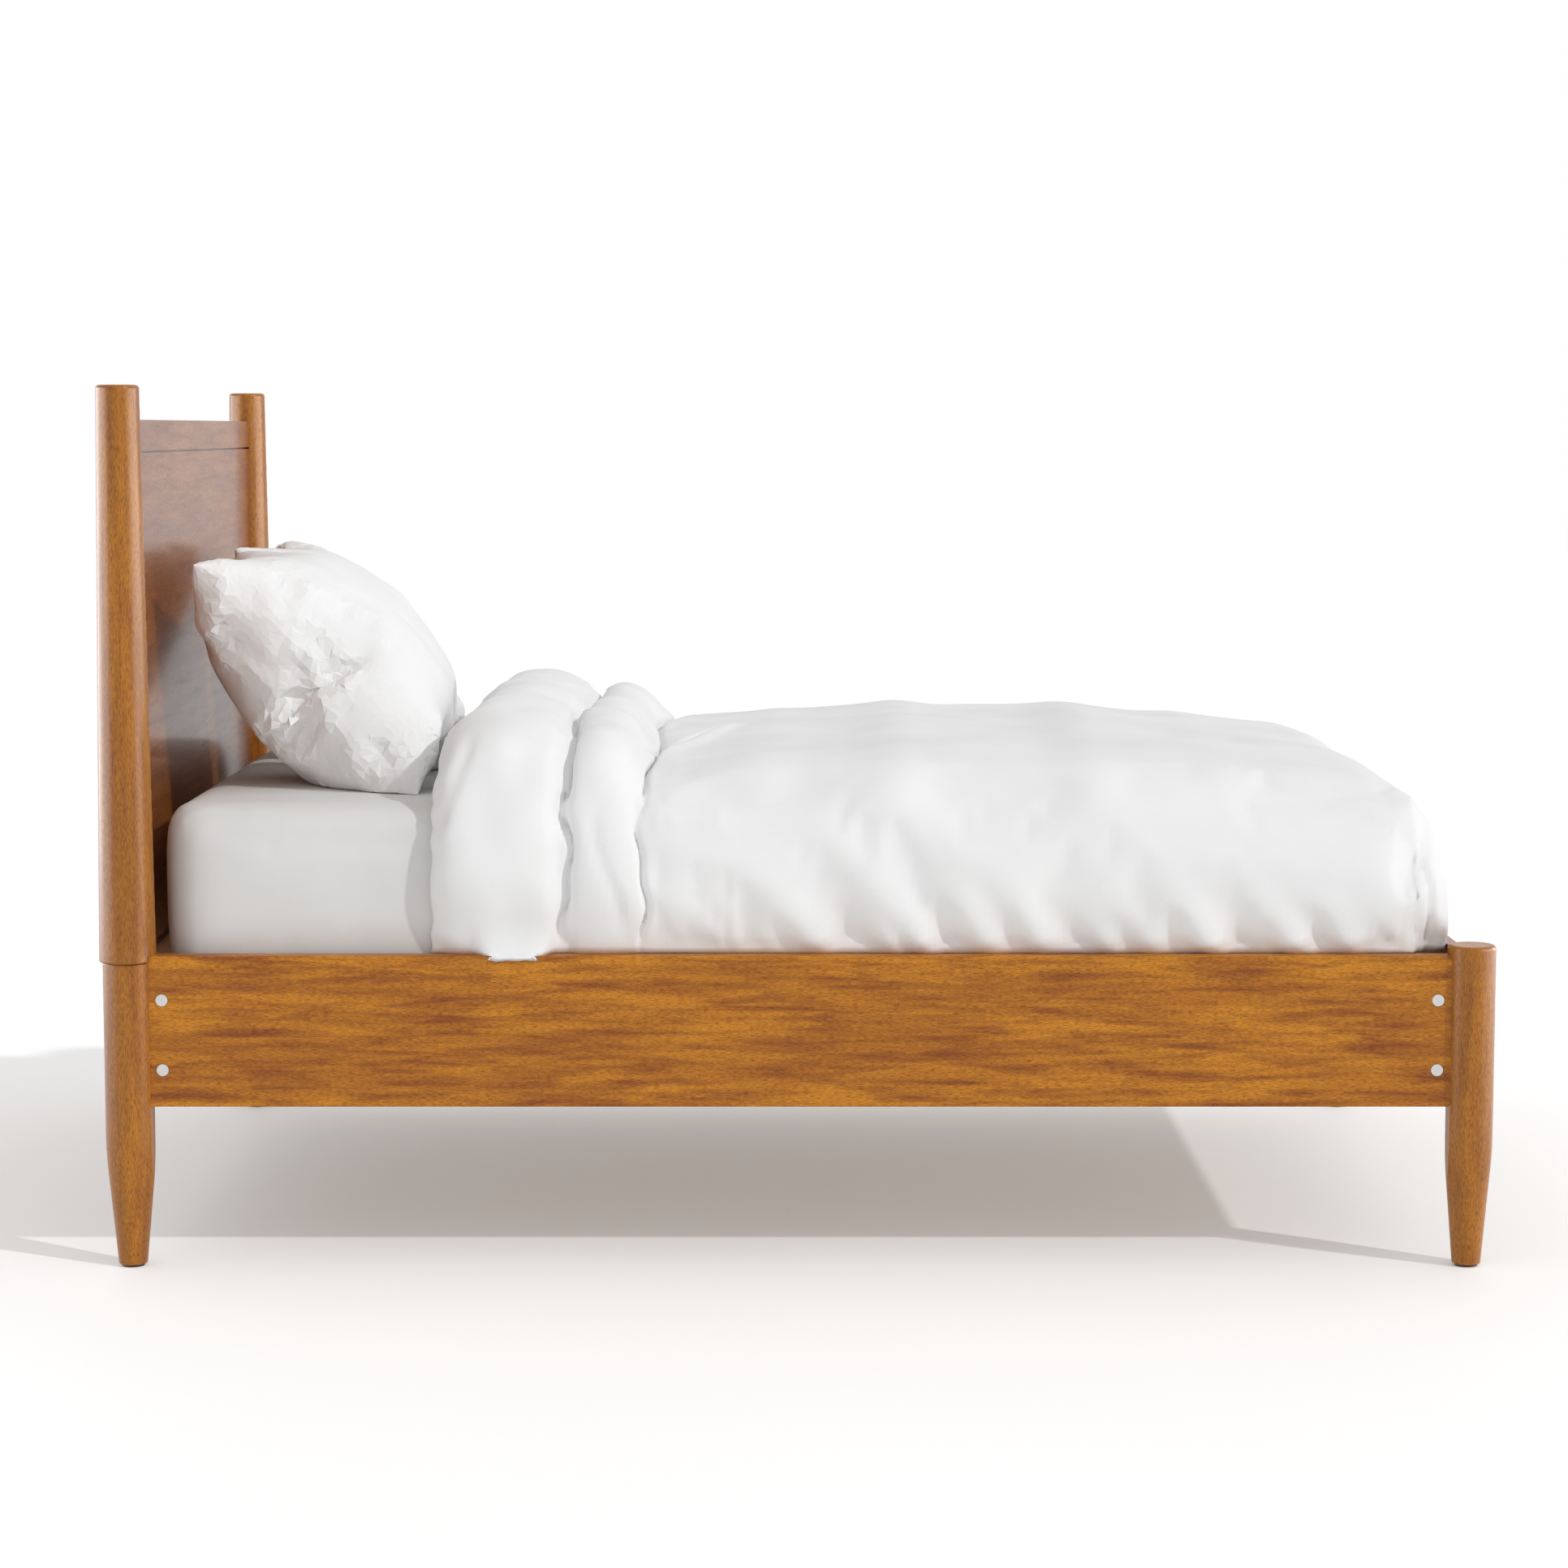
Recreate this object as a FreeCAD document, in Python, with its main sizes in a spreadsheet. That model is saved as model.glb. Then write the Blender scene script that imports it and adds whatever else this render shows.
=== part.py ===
import FreeCAD, Part
import Sketcher
import math
import os

doc = FreeCAD.newDocument("wooden_bed")
sheet = doc.addObject("Spreadsheet::Sheet", "Sizes")

# Lengths in millimetres; X runs from head to foot, Y across, Z up from the floor.
sizes = {
    "post_spacing_long": 2016,
    "post_spacing_wide": 1262,
    "head_post_height": 1323.5,
    "head_joint_drop_depth": 10,
    "head_post_top_width": 64,
    "head_post_base_width": 85,
    "head_leg_width": 75,
    "foot_post_width": 72,
    "foot_post_rise_height": 15,
    "leg_tip_width": 43,
    "leg_taper_height": 203,
    "leg_knee_radius": 600,
    "post_top_round": 6,
    "post_joint_round": 3,
    "leg_tip_round": 1.5,
    "glide_width": 34,
    "glide_thickness": 4,
    "rail_bottom_height": 245.5,
    "rail_depth": 229,
    "rail_thickness": 28,
    "rail_reach": 16,
    "head_flat_offset": 33.5,
    "foot_flat_offset": 32,
    "edge_ease": 1.5,
    "board_thickness": 19,
    "board_front_offset": 7,
    "board_housing_offset": 15,
    "headboard_drop_height": 51,
    "headboard_cap_depth": 47,
    "headboard_base_depth": 60,
    "shadow_gap": 3,
    "tongue_thickness": 7,
    "tongue_length": 9,
    "head_rail_housing_offset": 18,
    "footboard_thickness": 17.5,
    "footboard_face_offset": 11,
    "footboard_rise_height": 9,
    "footboard_housing_offset": 10,
    "bolt_high_offset": 161.6,
    "bolt_low_offset": 55.7,
    "bolt_width": 8,
    "bolt_head_width": 15,
    "bolt_head_thickness": 6,
    "bolt_head_recess": 13,
    "bolt_past_nut": 14,
    "bolt_clearance": 0.3,
    "nut_setback": 52,
    "nut_width": 14,
    "nut_length": 20,
    "cap_width": 18,
    "cap_thickness": 3,
    "cap_ring_clearance": 0.6,
    "rail_dowel_width": 10,
    "rail_dowel_in_post": 15,
    "rail_dowel_in_rail": 25,
    "stud_width": 10,
    "stud_half_length": 38,
    "fit_clearance": 0.15,
    "ledger_thickness": 22,
    "ledger_depth": 35,
    "ledger_setback": 62,
    "ledger_screw_width": 4.5,
    "ledger_screw_length": 38,
    "ledger_screw_head": 9,
    "ledger_screw_sink": 4,
    "ledger_screw_drop": 26,
    "slat_width": 70,
    "slat_thickness": 18,
    "slat_end_clearance": 4,
    "slat_first_offset": 105,
    "slat_screw_width": 4,
    "slat_screw_length": 34,
    "slat_screw_head": 8,
    "slat_screw_sink": 3.5,
    "beam_thickness": 40,
    "beam_depth": 60,
    "beam_housing": 8,
    "mattress_sink_depth": 31,
    "mattress_thickness": 253,
    "mattress_head_offset": 46,
    "mattress_foot_offset": 86,
    "mattress_side_offset": 21,
    "mattress_corner_radius": 65,
    "mattress_edge_radius": 42,
    "soft_gap": 0.4,
    "duvet_head_offset": 467,
    "duvet_foot_offset": 31,
    "duvet_crown": 100,
    "duvet_wall": 30,
    "duvet_side_bulge": 14,
    "duvet_shoulder_inset": 120,
    "duvet_cavity_clearance": 1.5,
    "pillow_length": 498,
    "pillow_width": 455,
    "pillow_gap": 10,
    "pillow_front_bulge": 155,
    "pillow_back_bulge": 145,
    "pillow_foot_offset": 410,
    "pillow_rise_height": 360,
    "cut_overrun": 5,
}
for row, (alias, value) in enumerate(sizes.items(), start=1):
    sheet.set("A%d" % row, alias)
    sheet.set("B%d" % row, str(value))
    sheet.setAlias("B%d" % row, alias)
doc.recompute()

slat_count = 13
ledger_screw_count = 6
nodes = []


def size(alias):
    return float(sheet.get(alias))


def cell(alias):
    return "Sizes." + alias


def value(expression):
    return float(sheet.evalExpression(expression))


def total(*terms):
    return "(" + " + ".join(terms) + ")"


def less(first, *terms):
    return "(" + " - ".join((first,) + terms) + ")"


def half(term):
    return "(" + term + " / 2)"


def flip(term):
    return "(0 - " + term + ")"


def place(item, x, y, z):
    item.setExpression("Placement.Base.x", x)
    item.setExpression("Placement.Base.y", y)
    item.setExpression("Placement.Base.z", z)


# A block is given by its low corner and its three lengths.
def block(name, low, lengths):
    item = doc.addObject("Part::Box", name)
    item.setExpression("Length", lengths[0])
    item.setExpression("Width", lengths[1])
    item.setExpression("Height", lengths[2])
    place(item, low[0], low[1], low[2])
    return item


# A rod starts at the given point and runs along one axis.
def rod(name, start, width, length, axis):
    item = doc.addObject("Part::Cylinder", name)
    item.setExpression("Radius", half(width))
    item.setExpression("Height", length)
    turn = FreeCAD.Rotation(FreeCAD.Vector(0, 0, 1), axis)
    item.Placement = FreeCAD.Placement(FreeCAD.Vector(0, 0, 0), turn)
    place(item, start[0], start[1], start[2])
    return item


def joined(name, pieces):
    if len(pieces) == 1:
        return pieces[0]
    item = doc.addObject("Part::MultiFuse", name)
    item.Shapes = pieces
    return item


def grouped(name, pieces):
    item = doc.addObject("Part::Compound", name)
    item.Links = pieces
    return finished(item, name)


def carved(name, base, tools):
    item = doc.addObject("Part::Cut", name)
    item.Base = base
    item.Tool = joined(name + "_tools", tools)
    return item


def finished(item, label):
    item.Label = label
    nodes.append(item)
    return item


def origin_plane(body, role):
    for feature in body.Origin.OriginFeatures:
        if feature.Role == role:
            return feature
    raise RuntimeError(role)


# A turned piece: corner points given as radius and height around the Z axis.
# A knee names the corner whose edge is an arc, tangent to the edges before and after it.
def turned(name, corners, knee=None):
    body = doc.addObject("PartDesign::Body", name)
    sketch = body.newObject("Sketcher::SketchObject", name + "_profile")
    sketch.AttachmentSupport = [(origin_plane(body, "XZ_Plane"), "")]
    sketch.MapMode = "FlatFace"
    points = [FreeCAD.Vector(start[0], start[1], 0) for start, bind in corners]
    for index, point in enumerate(points):
        after = points[(index + 1) % len(points)]
        if index == knee:
            radius = size("leg_knee_radius")
            centre = after - FreeCAD.Vector(radius, 0, 0)
            ring = Part.Circle(centre, FreeCAD.Vector(0, 0, 1), radius)
            sketch.addGeometry(Part.ArcOfCircle(ring, leg_angle(point, centre), 0), False)
        else:
            sketch.addGeometry(Part.LineSegment(point, after), False)
    for index in range(len(points)):
        following = (index + 1) % len(points)
        kind = "Tangent" if knee is not None and knee in (index, following) else "Coincident"
        sketch.addConstraint(Sketcher.Constraint(kind, index, 2, following, 1))
    for index, (start, bind) in enumerate(corners):
        if bind is None:
            continue
        for place_in, kind, axis in ((0, "DistanceX", -2), (1, "DistanceY", -1)):
            if bind[place_in] is None:
                sketch.addConstraint(Sketcher.Constraint("PointOnObject", index, 1, axis))
                continue
            number = sketch.addConstraint(
                Sketcher.Constraint(kind, -1, 1, index, 1, start[place_in]))
            sketch.setExpression("Constraints[%d]" % number, bind[place_in])
    if knee is not None:
        number = sketch.addConstraint(
            Sketcher.Constraint("Radius", knee, size("leg_knee_radius")))
        sketch.setExpression("Constraints[%d]" % number, cell("leg_knee_radius"))
    doc.recompute()
    revolution = body.newObject("PartDesign::Revolution", name + "_turning")
    revolution.Profile = sketch
    revolution.ReferenceAxis = (sketch, ["V_Axis"])
    revolution.Angle = 360
    body.Tip = revolution
    doc.recompute()
    return body


def leg_angle(point, centre):
    return math.atan2(point.y - centre.y, point.x - centre.x)


# Where the taper of a leg leaves the knee arc, as radius and height.
def knee_point(width):
    radius = size("leg_knee_radius")
    centre_out = width / 2 - radius
    tip_out = size("leg_tip_width") / 2 - centre_out
    tip_up = size("glide_thickness") - size("leg_taper_height")
    reach = math.hypot(tip_out, tip_up)
    angle = -math.atan2(tip_up, tip_out) - math.acos(radius / reach)
    return (centre_out + radius * math.cos(angle),
            size("leg_taper_height") - radius * math.sin(angle))


# Outline of a leg from its tip through the taper and the knee to its top.
def leg_blank(name, width, top):
    return turned(name, [
        ((0, size("glide_thickness")), (None, cell("glide_thickness"))),
        ((size("leg_tip_width") / 2, size("glide_thickness")),
         (half(cell("leg_tip_width")), cell("glide_thickness"))),
        (knee_point(size(width)), None),
        ((size(width) / 2, size("leg_taper_height")),
         (half(cell(width)), cell("leg_taper_height"))),
        ((size(width) / 2, value(top)), (half(cell(width)), top)),
        ((0, value(top)), (None, top)),
    ], knee=2)


# Rounds the ring edges that lie at the given height.
def ring_round(body, name, height, radius):
    near_share = 1e-6
    before = body.Tip
    picked = []
    for number, edge in enumerate(before.Shape.Edges, start=1):
        ring = isinstance(edge.Curve, Part.Circle)
        if ring and abs(edge.Curve.Center.z - height) < near_share * height:
            picked.append("Edge%d" % number)
    fillet = body.newObject("PartDesign::Fillet", name)
    fillet.Base = (before, picked)
    fillet.setExpression("Radius", radius)
    body.Tip = fillet
    doc.recompute()


spacing_long = cell("post_spacing_long")
half_spread = half(cell("post_spacing_wide"))
overall = total(spacing_long, half(cell("head_post_base_width")), half(cell("foot_post_width")))
head_x = less(half(cell("head_post_base_width")), half(overall))
foot_x = less(half(overall), half(cell("foot_post_width")))
rail_top = total(cell("rail_bottom_height"), cell("rail_depth"))
headboard_top = less(cell("head_post_height"), cell("headboard_drop_height"))
head_joint = less(rail_top, cell("head_joint_drop_depth"))
head_rail_depth = less(head_joint, cell("rail_bottom_height"))
foot_post_top = total(rail_top, cell("foot_post_rise_height"))
footboard_top = total(rail_top, cell("footboard_rise_height"))
mattress_base = less(rail_top, cell("mattress_sink_depth"))
along_x = FreeCAD.Vector(1, 0, 0)
along_y = FreeCAD.Vector(0, 1, 0)
along_z = FreeCAD.Vector(0, 0, 1)
overrun = cell("cut_overrun")
clear = cell("fit_clearance")
bolt_heights = {
    "high": total(cell("rail_bottom_height"), cell("bolt_high_offset")),
    "low": total(cell("rail_bottom_height"), cell("bolt_low_offset")),
}
sides = {"near": -1, "far": 1}


# Signed distance across the bed: outward of the post axis plane is positive.
def across(side, outward):
    term = total(half_spread, outward)
    return flip(term) if side == "near" else term


# Low Y corner of a band that runs outward from one distance to another.
def low_across(side, inner, outer):
    return across(side, outer if side == "near" else inner)


rail_middle = less(cell("rail_reach"), half(cell("rail_thickness")))
rail_inner = less(cell("rail_reach"), cell("rail_thickness"))
bearing_height = less(mattress_base, cell("slat_thickness"))
board_back = less(cell("board_front_offset"), cell("board_thickness"))
board_middle = less(cell("board_front_offset"), half(cell("board_thickness")))
foot_face = less(foot_x, cell("footboard_face_offset"), cell("footboard_thickness"))
bolt_hole = total(cell("bolt_width"), cell("bolt_clearance"), cell("bolt_clearance"))
head_hole = total(cell("bolt_head_width"), cell("bolt_clearance"), cell("bolt_clearance"))


# Each bed end as seen by its rail joint: post axis, inward way, post width, flat offset.
ends = {
    "head": (head_x, 1, cell("head_leg_width"), cell("head_flat_offset")),
    "foot": (foot_x, -1, cell("foot_post_width"), cell("foot_flat_offset")),
}


# A point that lies a distance inward of a post axis, along the bed.
def inward(end, distance):
    axis_x, way = ends[end][0], ends[end][1]
    return total(axis_x, distance) if way > 0 else less(axis_x, distance)


# A rod that runs inward along the bed from one distance to another.
def rail_rod(name, end, side, height, start, stop, width):
    first = (inward(end, start), across(side, rail_middle), height)
    return rod(name, first, width, less(stop, start), along_x * ends[end][1])


def outer_face(end):
    return flip(half(ends[end][2]))


def past_outer(end):
    return less(outer_face(end), overrun)


def bolt_seat(end):
    return total(outer_face(end), cell("bolt_head_recess"))


def bolt_tip():
    return total(cell("nut_setback"), cell("bolt_past_nut"))


# Bores that a post needs for its two rail bolts and its rail dowel.
def joint_bores(end, side):
    tag = end + "_" + side
    flat = ends[end][3]
    tools = []
    for level, height in bolt_heights.items():
        tools.append(rail_rod(tag + "_shank_bore_" + level, end, side, height,
                              past_outer(end), total(flat, overrun), bolt_hole))
        tools.append(rail_rod(tag + "_head_bore_" + level, end, side, height,
                              past_outer(end), bolt_seat(end), head_hole))
    tools.append(rail_rod(tag + "_dowel_bore", end, side, dowel_height,
                          less(flat, cell("rail_dowel_in_post")), total(flat, overrun),
                          dowel_hole))
    return tools


dowel_height = half(total(bolt_heights["high"], bolt_heights["low"]))
dowel_hole = total(cell("rail_dowel_width"), clear, clear)
stud_hole = total(cell("stud_width"), clear, clear)

# Head posts: tapered turnings, slotted for the headboard, flat below the rail top.
for side in sides:
    name = "head_post_" + side
    body = turned(name + "_blank", [
        ((0, value(head_joint)), (None, head_joint)),
        ((size("head_post_base_width") / 2, value(head_joint)),
         (half(cell("head_post_base_width")), head_joint)),
        ((size("head_post_top_width") / 2, size("head_post_height")),
         (half(cell("head_post_top_width")), cell("head_post_height"))),
        ((0, size("head_post_height")), (None, cell("head_post_height"))),
    ])
    ring_round(body, name + "_top_round", size("head_post_height"), cell("post_top_round"))
    ring_round(body, name + "_joint_round", value(head_joint), cell("post_joint_round"))
    place(body, head_x, across(side, "0"), "0")
    reach = total(half(cell("head_post_base_width")), overrun)
    slot = block(
        name + "_slot",
        (total(head_x, board_back),
         low_across(side, flip(reach), flip(cell("board_housing_offset"))),
         less(head_joint, overrun)),
        (cell("board_thickness"), less(reach, cell("board_housing_offset")),
         total(less(headboard_top, head_joint), overrun)))
    flat_start = less(head_joint, overrun)
    flat = block(name + "_flat",
                 (inward("head", cell("head_flat_offset")),
                  low_across(side, flip(reach), reach), flat_start),
                 (less(reach, cell("head_flat_offset")), total(reach, reach),
                  less(rail_top, flat_start)))
    socket = rod(name + "_socket",
                 (head_x, across(side, "0"), less(head_joint, overrun)),
                 stud_hole, total(cell("stud_half_length"), overrun), along_z)
    finished(carved(name, body, [slot, flat, socket]), name)

# Head legs: turned below the joint, flat towards the rail, housed for the head rail.
for side in sides:
    name = "head_leg_" + side
    body = leg_blank(name + "_blank", "head_leg_width", head_joint)
    ring_round(body, name + "_joint_round", value(head_joint), cell("post_joint_round"))
    ring_round(body, name + "_tip_round", size("glide_thickness"), cell("leg_tip_round"))
    place(body, head_x, across(side, "0"), "0")
    reach = total(half(cell("head_leg_width")), overrun)
    flat = block(name + "_flat",
                 (inward("head", cell("head_flat_offset")),
                  low_across(side, flip(reach), reach), "0"),
                 (less(reach, cell("head_flat_offset")), total(reach, reach),
                  total(head_joint, overrun)))
    housing = block(
        name + "_housing",
        (less(head_x, half(cell("rail_thickness"))),
         low_across(side, flip(reach), flip(cell("head_rail_housing_offset"))),
         cell("rail_bottom_height")),
        (cell("rail_thickness"), less(reach, cell("head_rail_housing_offset")),
         total(head_rail_depth, overrun)))
    socket = rod(name + "_socket",
                 (head_x, across(side, "0"),
                  less(head_joint, cell("stud_half_length"))),
                 stud_hole, total(cell("stud_half_length"), overrun), along_z)
    tools = [flat, housing, socket] + joint_bores("head", side)
    finished(carved(name, body, tools), name)

# Foot posts: short turnings, flat below the rail top, housed for the footboard.
for side in sides:
    name = "foot_post_" + side
    body = leg_blank(name + "_blank", "foot_post_width", foot_post_top)
    ring_round(body, name + "_top_round", value(foot_post_top), cell("post_top_round"))
    ring_round(body, name + "_tip_round", size("glide_thickness"), cell("leg_tip_round"))
    place(body, foot_x, across(side, "0"), "0")
    reach = total(half(cell("foot_post_width")), overrun)
    flat = block(name + "_flat",
                 (less(foot_x, reach), low_across(side, flip(reach), reach), "0"),
                 (less(reach, cell("foot_flat_offset")), total(reach, reach), rail_top))
    housing = block(
        name + "_housing",
        (foot_face, low_across(side, flip(reach), flip(cell("footboard_housing_offset"))),
         cell("rail_bottom_height")),
        (cell("footboard_thickness"), less(reach, cell("footboard_housing_offset")),
         less(footboard_top, cell("rail_bottom_height"))))
    finished(carved(name, body, [flat, housing] + joint_bores("foot", side)), name)


# Eases the long edges of a board; the edges are those that run along the given way.
def eased(name, board, way):
    doc.recompute()
    edges = []
    for number, edge in enumerate(board.Shape.Edges, start=1):
        direction = edge.tangentAt(edge.FirstParameter)
        if abs(direction.dot(way)) > parallel_share:
            edges.append((number, size("edge_ease"), size("edge_ease")))
    item = doc.addObject("Part::Fillet", name)
    item.Base = board
    item.Edges = edges
    return item


parallel_share = 0.99

# Headboard: a cap rail and a base rail, grooved for the tongues of the panel between.
board_span = less(half_spread, cell("board_housing_offset"))
board_y = flip(board_span)
board_width = total(board_span, board_span)
cap_bottom = less(headboard_top, cell("headboard_cap_depth"))
base_top = total(head_joint, cell("headboard_base_depth"))
tongue_x = less(total(head_x, board_middle), half(cell("tongue_thickness")))
groove_x = less(tongue_x, clear)
groove_width = total(cell("tongue_thickness"), clear, clear)
groove_depth = total(cell("tongue_length"), clear)

cap = block("headboard_cap_blank", (total(head_x, board_back), board_y, cap_bottom),
            (cell("board_thickness"), board_width, cell("headboard_cap_depth")))
cap_groove = block("headboard_cap_groove",
                   (groove_x, less(board_y, overrun), less(cap_bottom, overrun)),
                   (groove_width, total(board_width, overrun, overrun),
                    total(groove_depth, overrun)))
finished(carved("headboard_top_rail", cap, [cap_groove]), "headboard_top_rail")

base = block("headboard_base_blank",
             (total(head_x, board_back), board_y, head_joint),
             (cell("board_thickness"), board_width, cell("headboard_base_depth")))
base_groove = block("headboard_base_groove",
                    (groove_x, less(board_y, overrun), less(base_top, groove_depth)),
                    (groove_width, total(board_width, overrun, overrun),
                     total(groove_depth, overrun)))
finished(carved("headboard_base_rail", base, [base_groove]), "headboard_base_rail")

panel_low = base_top
panel_high = less(cap_bottom, cell("shadow_gap"))
panel_board = block("headboard_panel_board", (total(head_x, board_back), board_y, panel_low),
                    (cell("board_thickness"), board_width, less(panel_high, panel_low)))
panel_tongue = block("headboard_panel_tongue",
                     (tongue_x, board_y, less(panel_low, cell("tongue_length"))),
                     (cell("tongue_thickness"), board_width,
                      total(less(cap_bottom, panel_low), cell("tongue_length"),
                            cell("tongue_length"))))
finished(joined("headboard_panel", [panel_board, panel_tongue]), "headboard_panel")

# Head rail between the head legs, and footboard between the foot posts.
beam_low = less(bearing_height, cell("beam_depth"))
head_rail_face = total(head_x, half(cell("rail_thickness")))
beam_y = flip(half(cell("beam_thickness")))
head_rail_span = less(half_spread, cell("head_rail_housing_offset"))
head_rail = block("head_rail_blank",
                  (less(head_x, half(cell("rail_thickness"))), flip(head_rail_span),
                   cell("rail_bottom_height")),
                  (cell("rail_thickness"), total(head_rail_span, head_rail_span),
                   head_rail_depth))
head_seat = block("head_rail_seat",
                  (less(head_rail_face, cell("beam_housing")), beam_y, beam_low),
                  (total(cell("beam_housing"), overrun), cell("beam_thickness"),
                   cell("beam_depth")))
finished(carved("head_rail", head_rail, [head_seat]), "head_rail")

footboard_span = less(half_spread, cell("footboard_housing_offset"))
footboard = block("footboard_blank",
                  (foot_face, flip(footboard_span), cell("rail_bottom_height")),
                  (cell("footboard_thickness"), total(footboard_span, footboard_span),
                   less(footboard_top, cell("rail_bottom_height"))))
foot_seat = block("footboard_seat", (less(foot_face, overrun), beam_y, beam_low),
                  (total(cell("beam_housing"), overrun), cell("beam_thickness"),
                   cell("beam_depth")))
finished(carved("footboard", footboard, [foot_seat]), "footboard")

beam_start = less(head_rail_face, cell("beam_housing"))
finished(block("centre_beam", (beam_start, beam_y, beam_low),
               (less(total(foot_face, cell("beam_housing")), beam_start),
                cell("beam_thickness"), cell("beam_depth"))), "centre_beam")

# Ledger screws sit at even steps along each ledger; slat screws at each slat end.
ledger_start = total(head_x, cell("ledger_setback"))
ledger_length = less(spacing_long, cell("ledger_setback"), cell("ledger_setback"))
ledger_inner = less(rail_inner, cell("ledger_thickness"))
ledger_screw_height = less(bearing_height, cell("ledger_screw_drop"))
ledger_stations = [
    total(ledger_start, "%s * %d / %d" % (ledger_length, 2 * index + 1, 2 * ledger_screw_count))
    for index in range(ledger_screw_count)
]
slat_span = less(spacing_long, cell("slat_first_offset"), cell("slat_first_offset"))
slat_stations = [
    total(head_x, cell("slat_first_offset"), "%s * %d / %d" % (slat_span, index, slat_count - 1))
    for index in range(slat_count)
]
slat_screw_out = less(rail_inner, half(cell("ledger_thickness")))


# A rod that runs outward across the bed from one distance to another.
def outward_rod(name, x, side, height, start, stop, width):
    first = (x, across(side, start), height)
    return rod(name, first, width, less(stop, start), along_y * sides[side])


# Side rails: flat boards bored at both ends for bolts, cross nuts, caps and dowels.
cap_hole = total(cell("cap_width"), cell("cap_ring_clearance"), cell("cap_ring_clearance"))
nut_hole = total(cell("nut_width"), clear, clear)
cap_floor = less(cell("rail_reach"), cell("cap_thickness"))
nut_floor = less(cap_floor, cell("nut_length"))
past_rail = total(cell("rail_reach"), overrun)
ledger_screw_hole = total(cell("ledger_screw_width"), clear, clear)
ledger_head_hole = total(cell("ledger_screw_head"), clear, clear)
ledger_screw_tip = total(ledger_inner, cell("ledger_screw_length"))

for side in sides:
    name = "side_rail_" + side
    rail_start = inward("head", cell("head_flat_offset"))
    board = block(name + "_blank",
                  (rail_start, low_across(side, rail_inner, cell("rail_reach")),
                   cell("rail_bottom_height")),
                  (less(inward("foot", cell("foot_flat_offset")), rail_start),
                   cell("rail_thickness"), cell("rail_depth")))
    tools = []
    for end in ends:
        flat = ends[end][3]
        nut_x = inward(end, cell("nut_setback"))
        tag = name + "_" + end
        for level, height in bolt_heights.items():
            tools.append(rail_rod(tag + "_bolt_bore_" + level, end, side, height,
                                  less(flat, overrun), total(bolt_tip(), clear), bolt_hole))
            tools.append(outward_rod(tag + "_nut_bore_" + level, nut_x, side, height,
                                     less(nut_floor, clear), past_rail, nut_hole))
            tools.append(outward_rod(tag + "_cap_bore_" + level, nut_x, side, height,
                                     cap_floor, past_rail, cap_hole))
        tools.append(rail_rod(tag + "_dowel_bore", end, side, dowel_height,
                              less(flat, overrun),
                              total(flat, cell("rail_dowel_in_rail"), clear), dowel_hole))
    for index, station in enumerate(ledger_stations, start=1):
        tools.append(outward_rod(name + "_pilot_%d" % index, station, side,
                                 ledger_screw_height, less(rail_inner, overrun),
                                 total(ledger_screw_tip, clear), ledger_screw_hole))
    finished(carved(name, eased(name + "_eased", board, along_x), tools), name)

# Rail fittings, eight of each: bolts through the posts, cross nuts and their caps.
bolts = []
nuts = []
caps = []
dowels = []
for side in sides:
    for end in ends:
        nut_x = inward(end, cell("nut_setback"))
        flat = ends[end][3]
        for level, height in bolt_heights.items():
            tag = "_".join((end, side, level))
            head_start = less(bolt_seat(end), cell("bolt_head_thickness"))
            bolts.append(joined("bolt_" + tag, [
                rail_rod("bolt_head_" + tag, end, side, height, head_start, bolt_seat(end),
                         cell("bolt_head_width")),
                rail_rod("bolt_shank_" + tag, end, side, height, head_start, bolt_tip(),
                         cell("bolt_width")),
            ]))
            barrel = outward_rod("nut_barrel_" + tag, nut_x, side, height, nut_floor,
                                 cap_floor, cell("nut_width"))
            thread = rail_rod("nut_thread_" + tag, end, side, height,
                              less(cell("nut_setback"), cell("nut_width")),
                              total(cell("nut_setback"), cell("nut_width")),
                              total(cell("bolt_width"), clear, clear))
            nuts.append(carved("nut_" + tag, barrel, [thread]))
            caps.append(outward_rod("cap_" + tag, nut_x, side, height, cap_floor,
                                    cell("rail_reach"), cell("cap_width")))
        dowels.append(rail_rod("dowel_" + end + "_" + side, end, side, dowel_height,
                               less(flat, cell("rail_dowel_in_post")),
                               total(flat, cell("rail_dowel_in_rail")),
                               cell("rail_dowel_width")))
grouped("rail_bolts", bolts)
grouped("cross_nuts", nuts)
grouped("bolt_caps", caps)
grouped("rail_dowels", dowels)

grouped("post_studs", [
    rod("stud_" + side,
        (head_x, across(side, "0"), less(head_joint, cell("stud_half_length"))),
        cell("stud_width"), total(cell("stud_half_length"), cell("stud_half_length")), along_z)
    for side in sides
])
grouped("floor_glides", [
    rod("glide_" + end + "_" + side, (ends[end][0], across(side, "0"), "0"),
        cell("glide_width"), cell("glide_thickness"), along_z)
    for end in ends for side in sides
])

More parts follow.
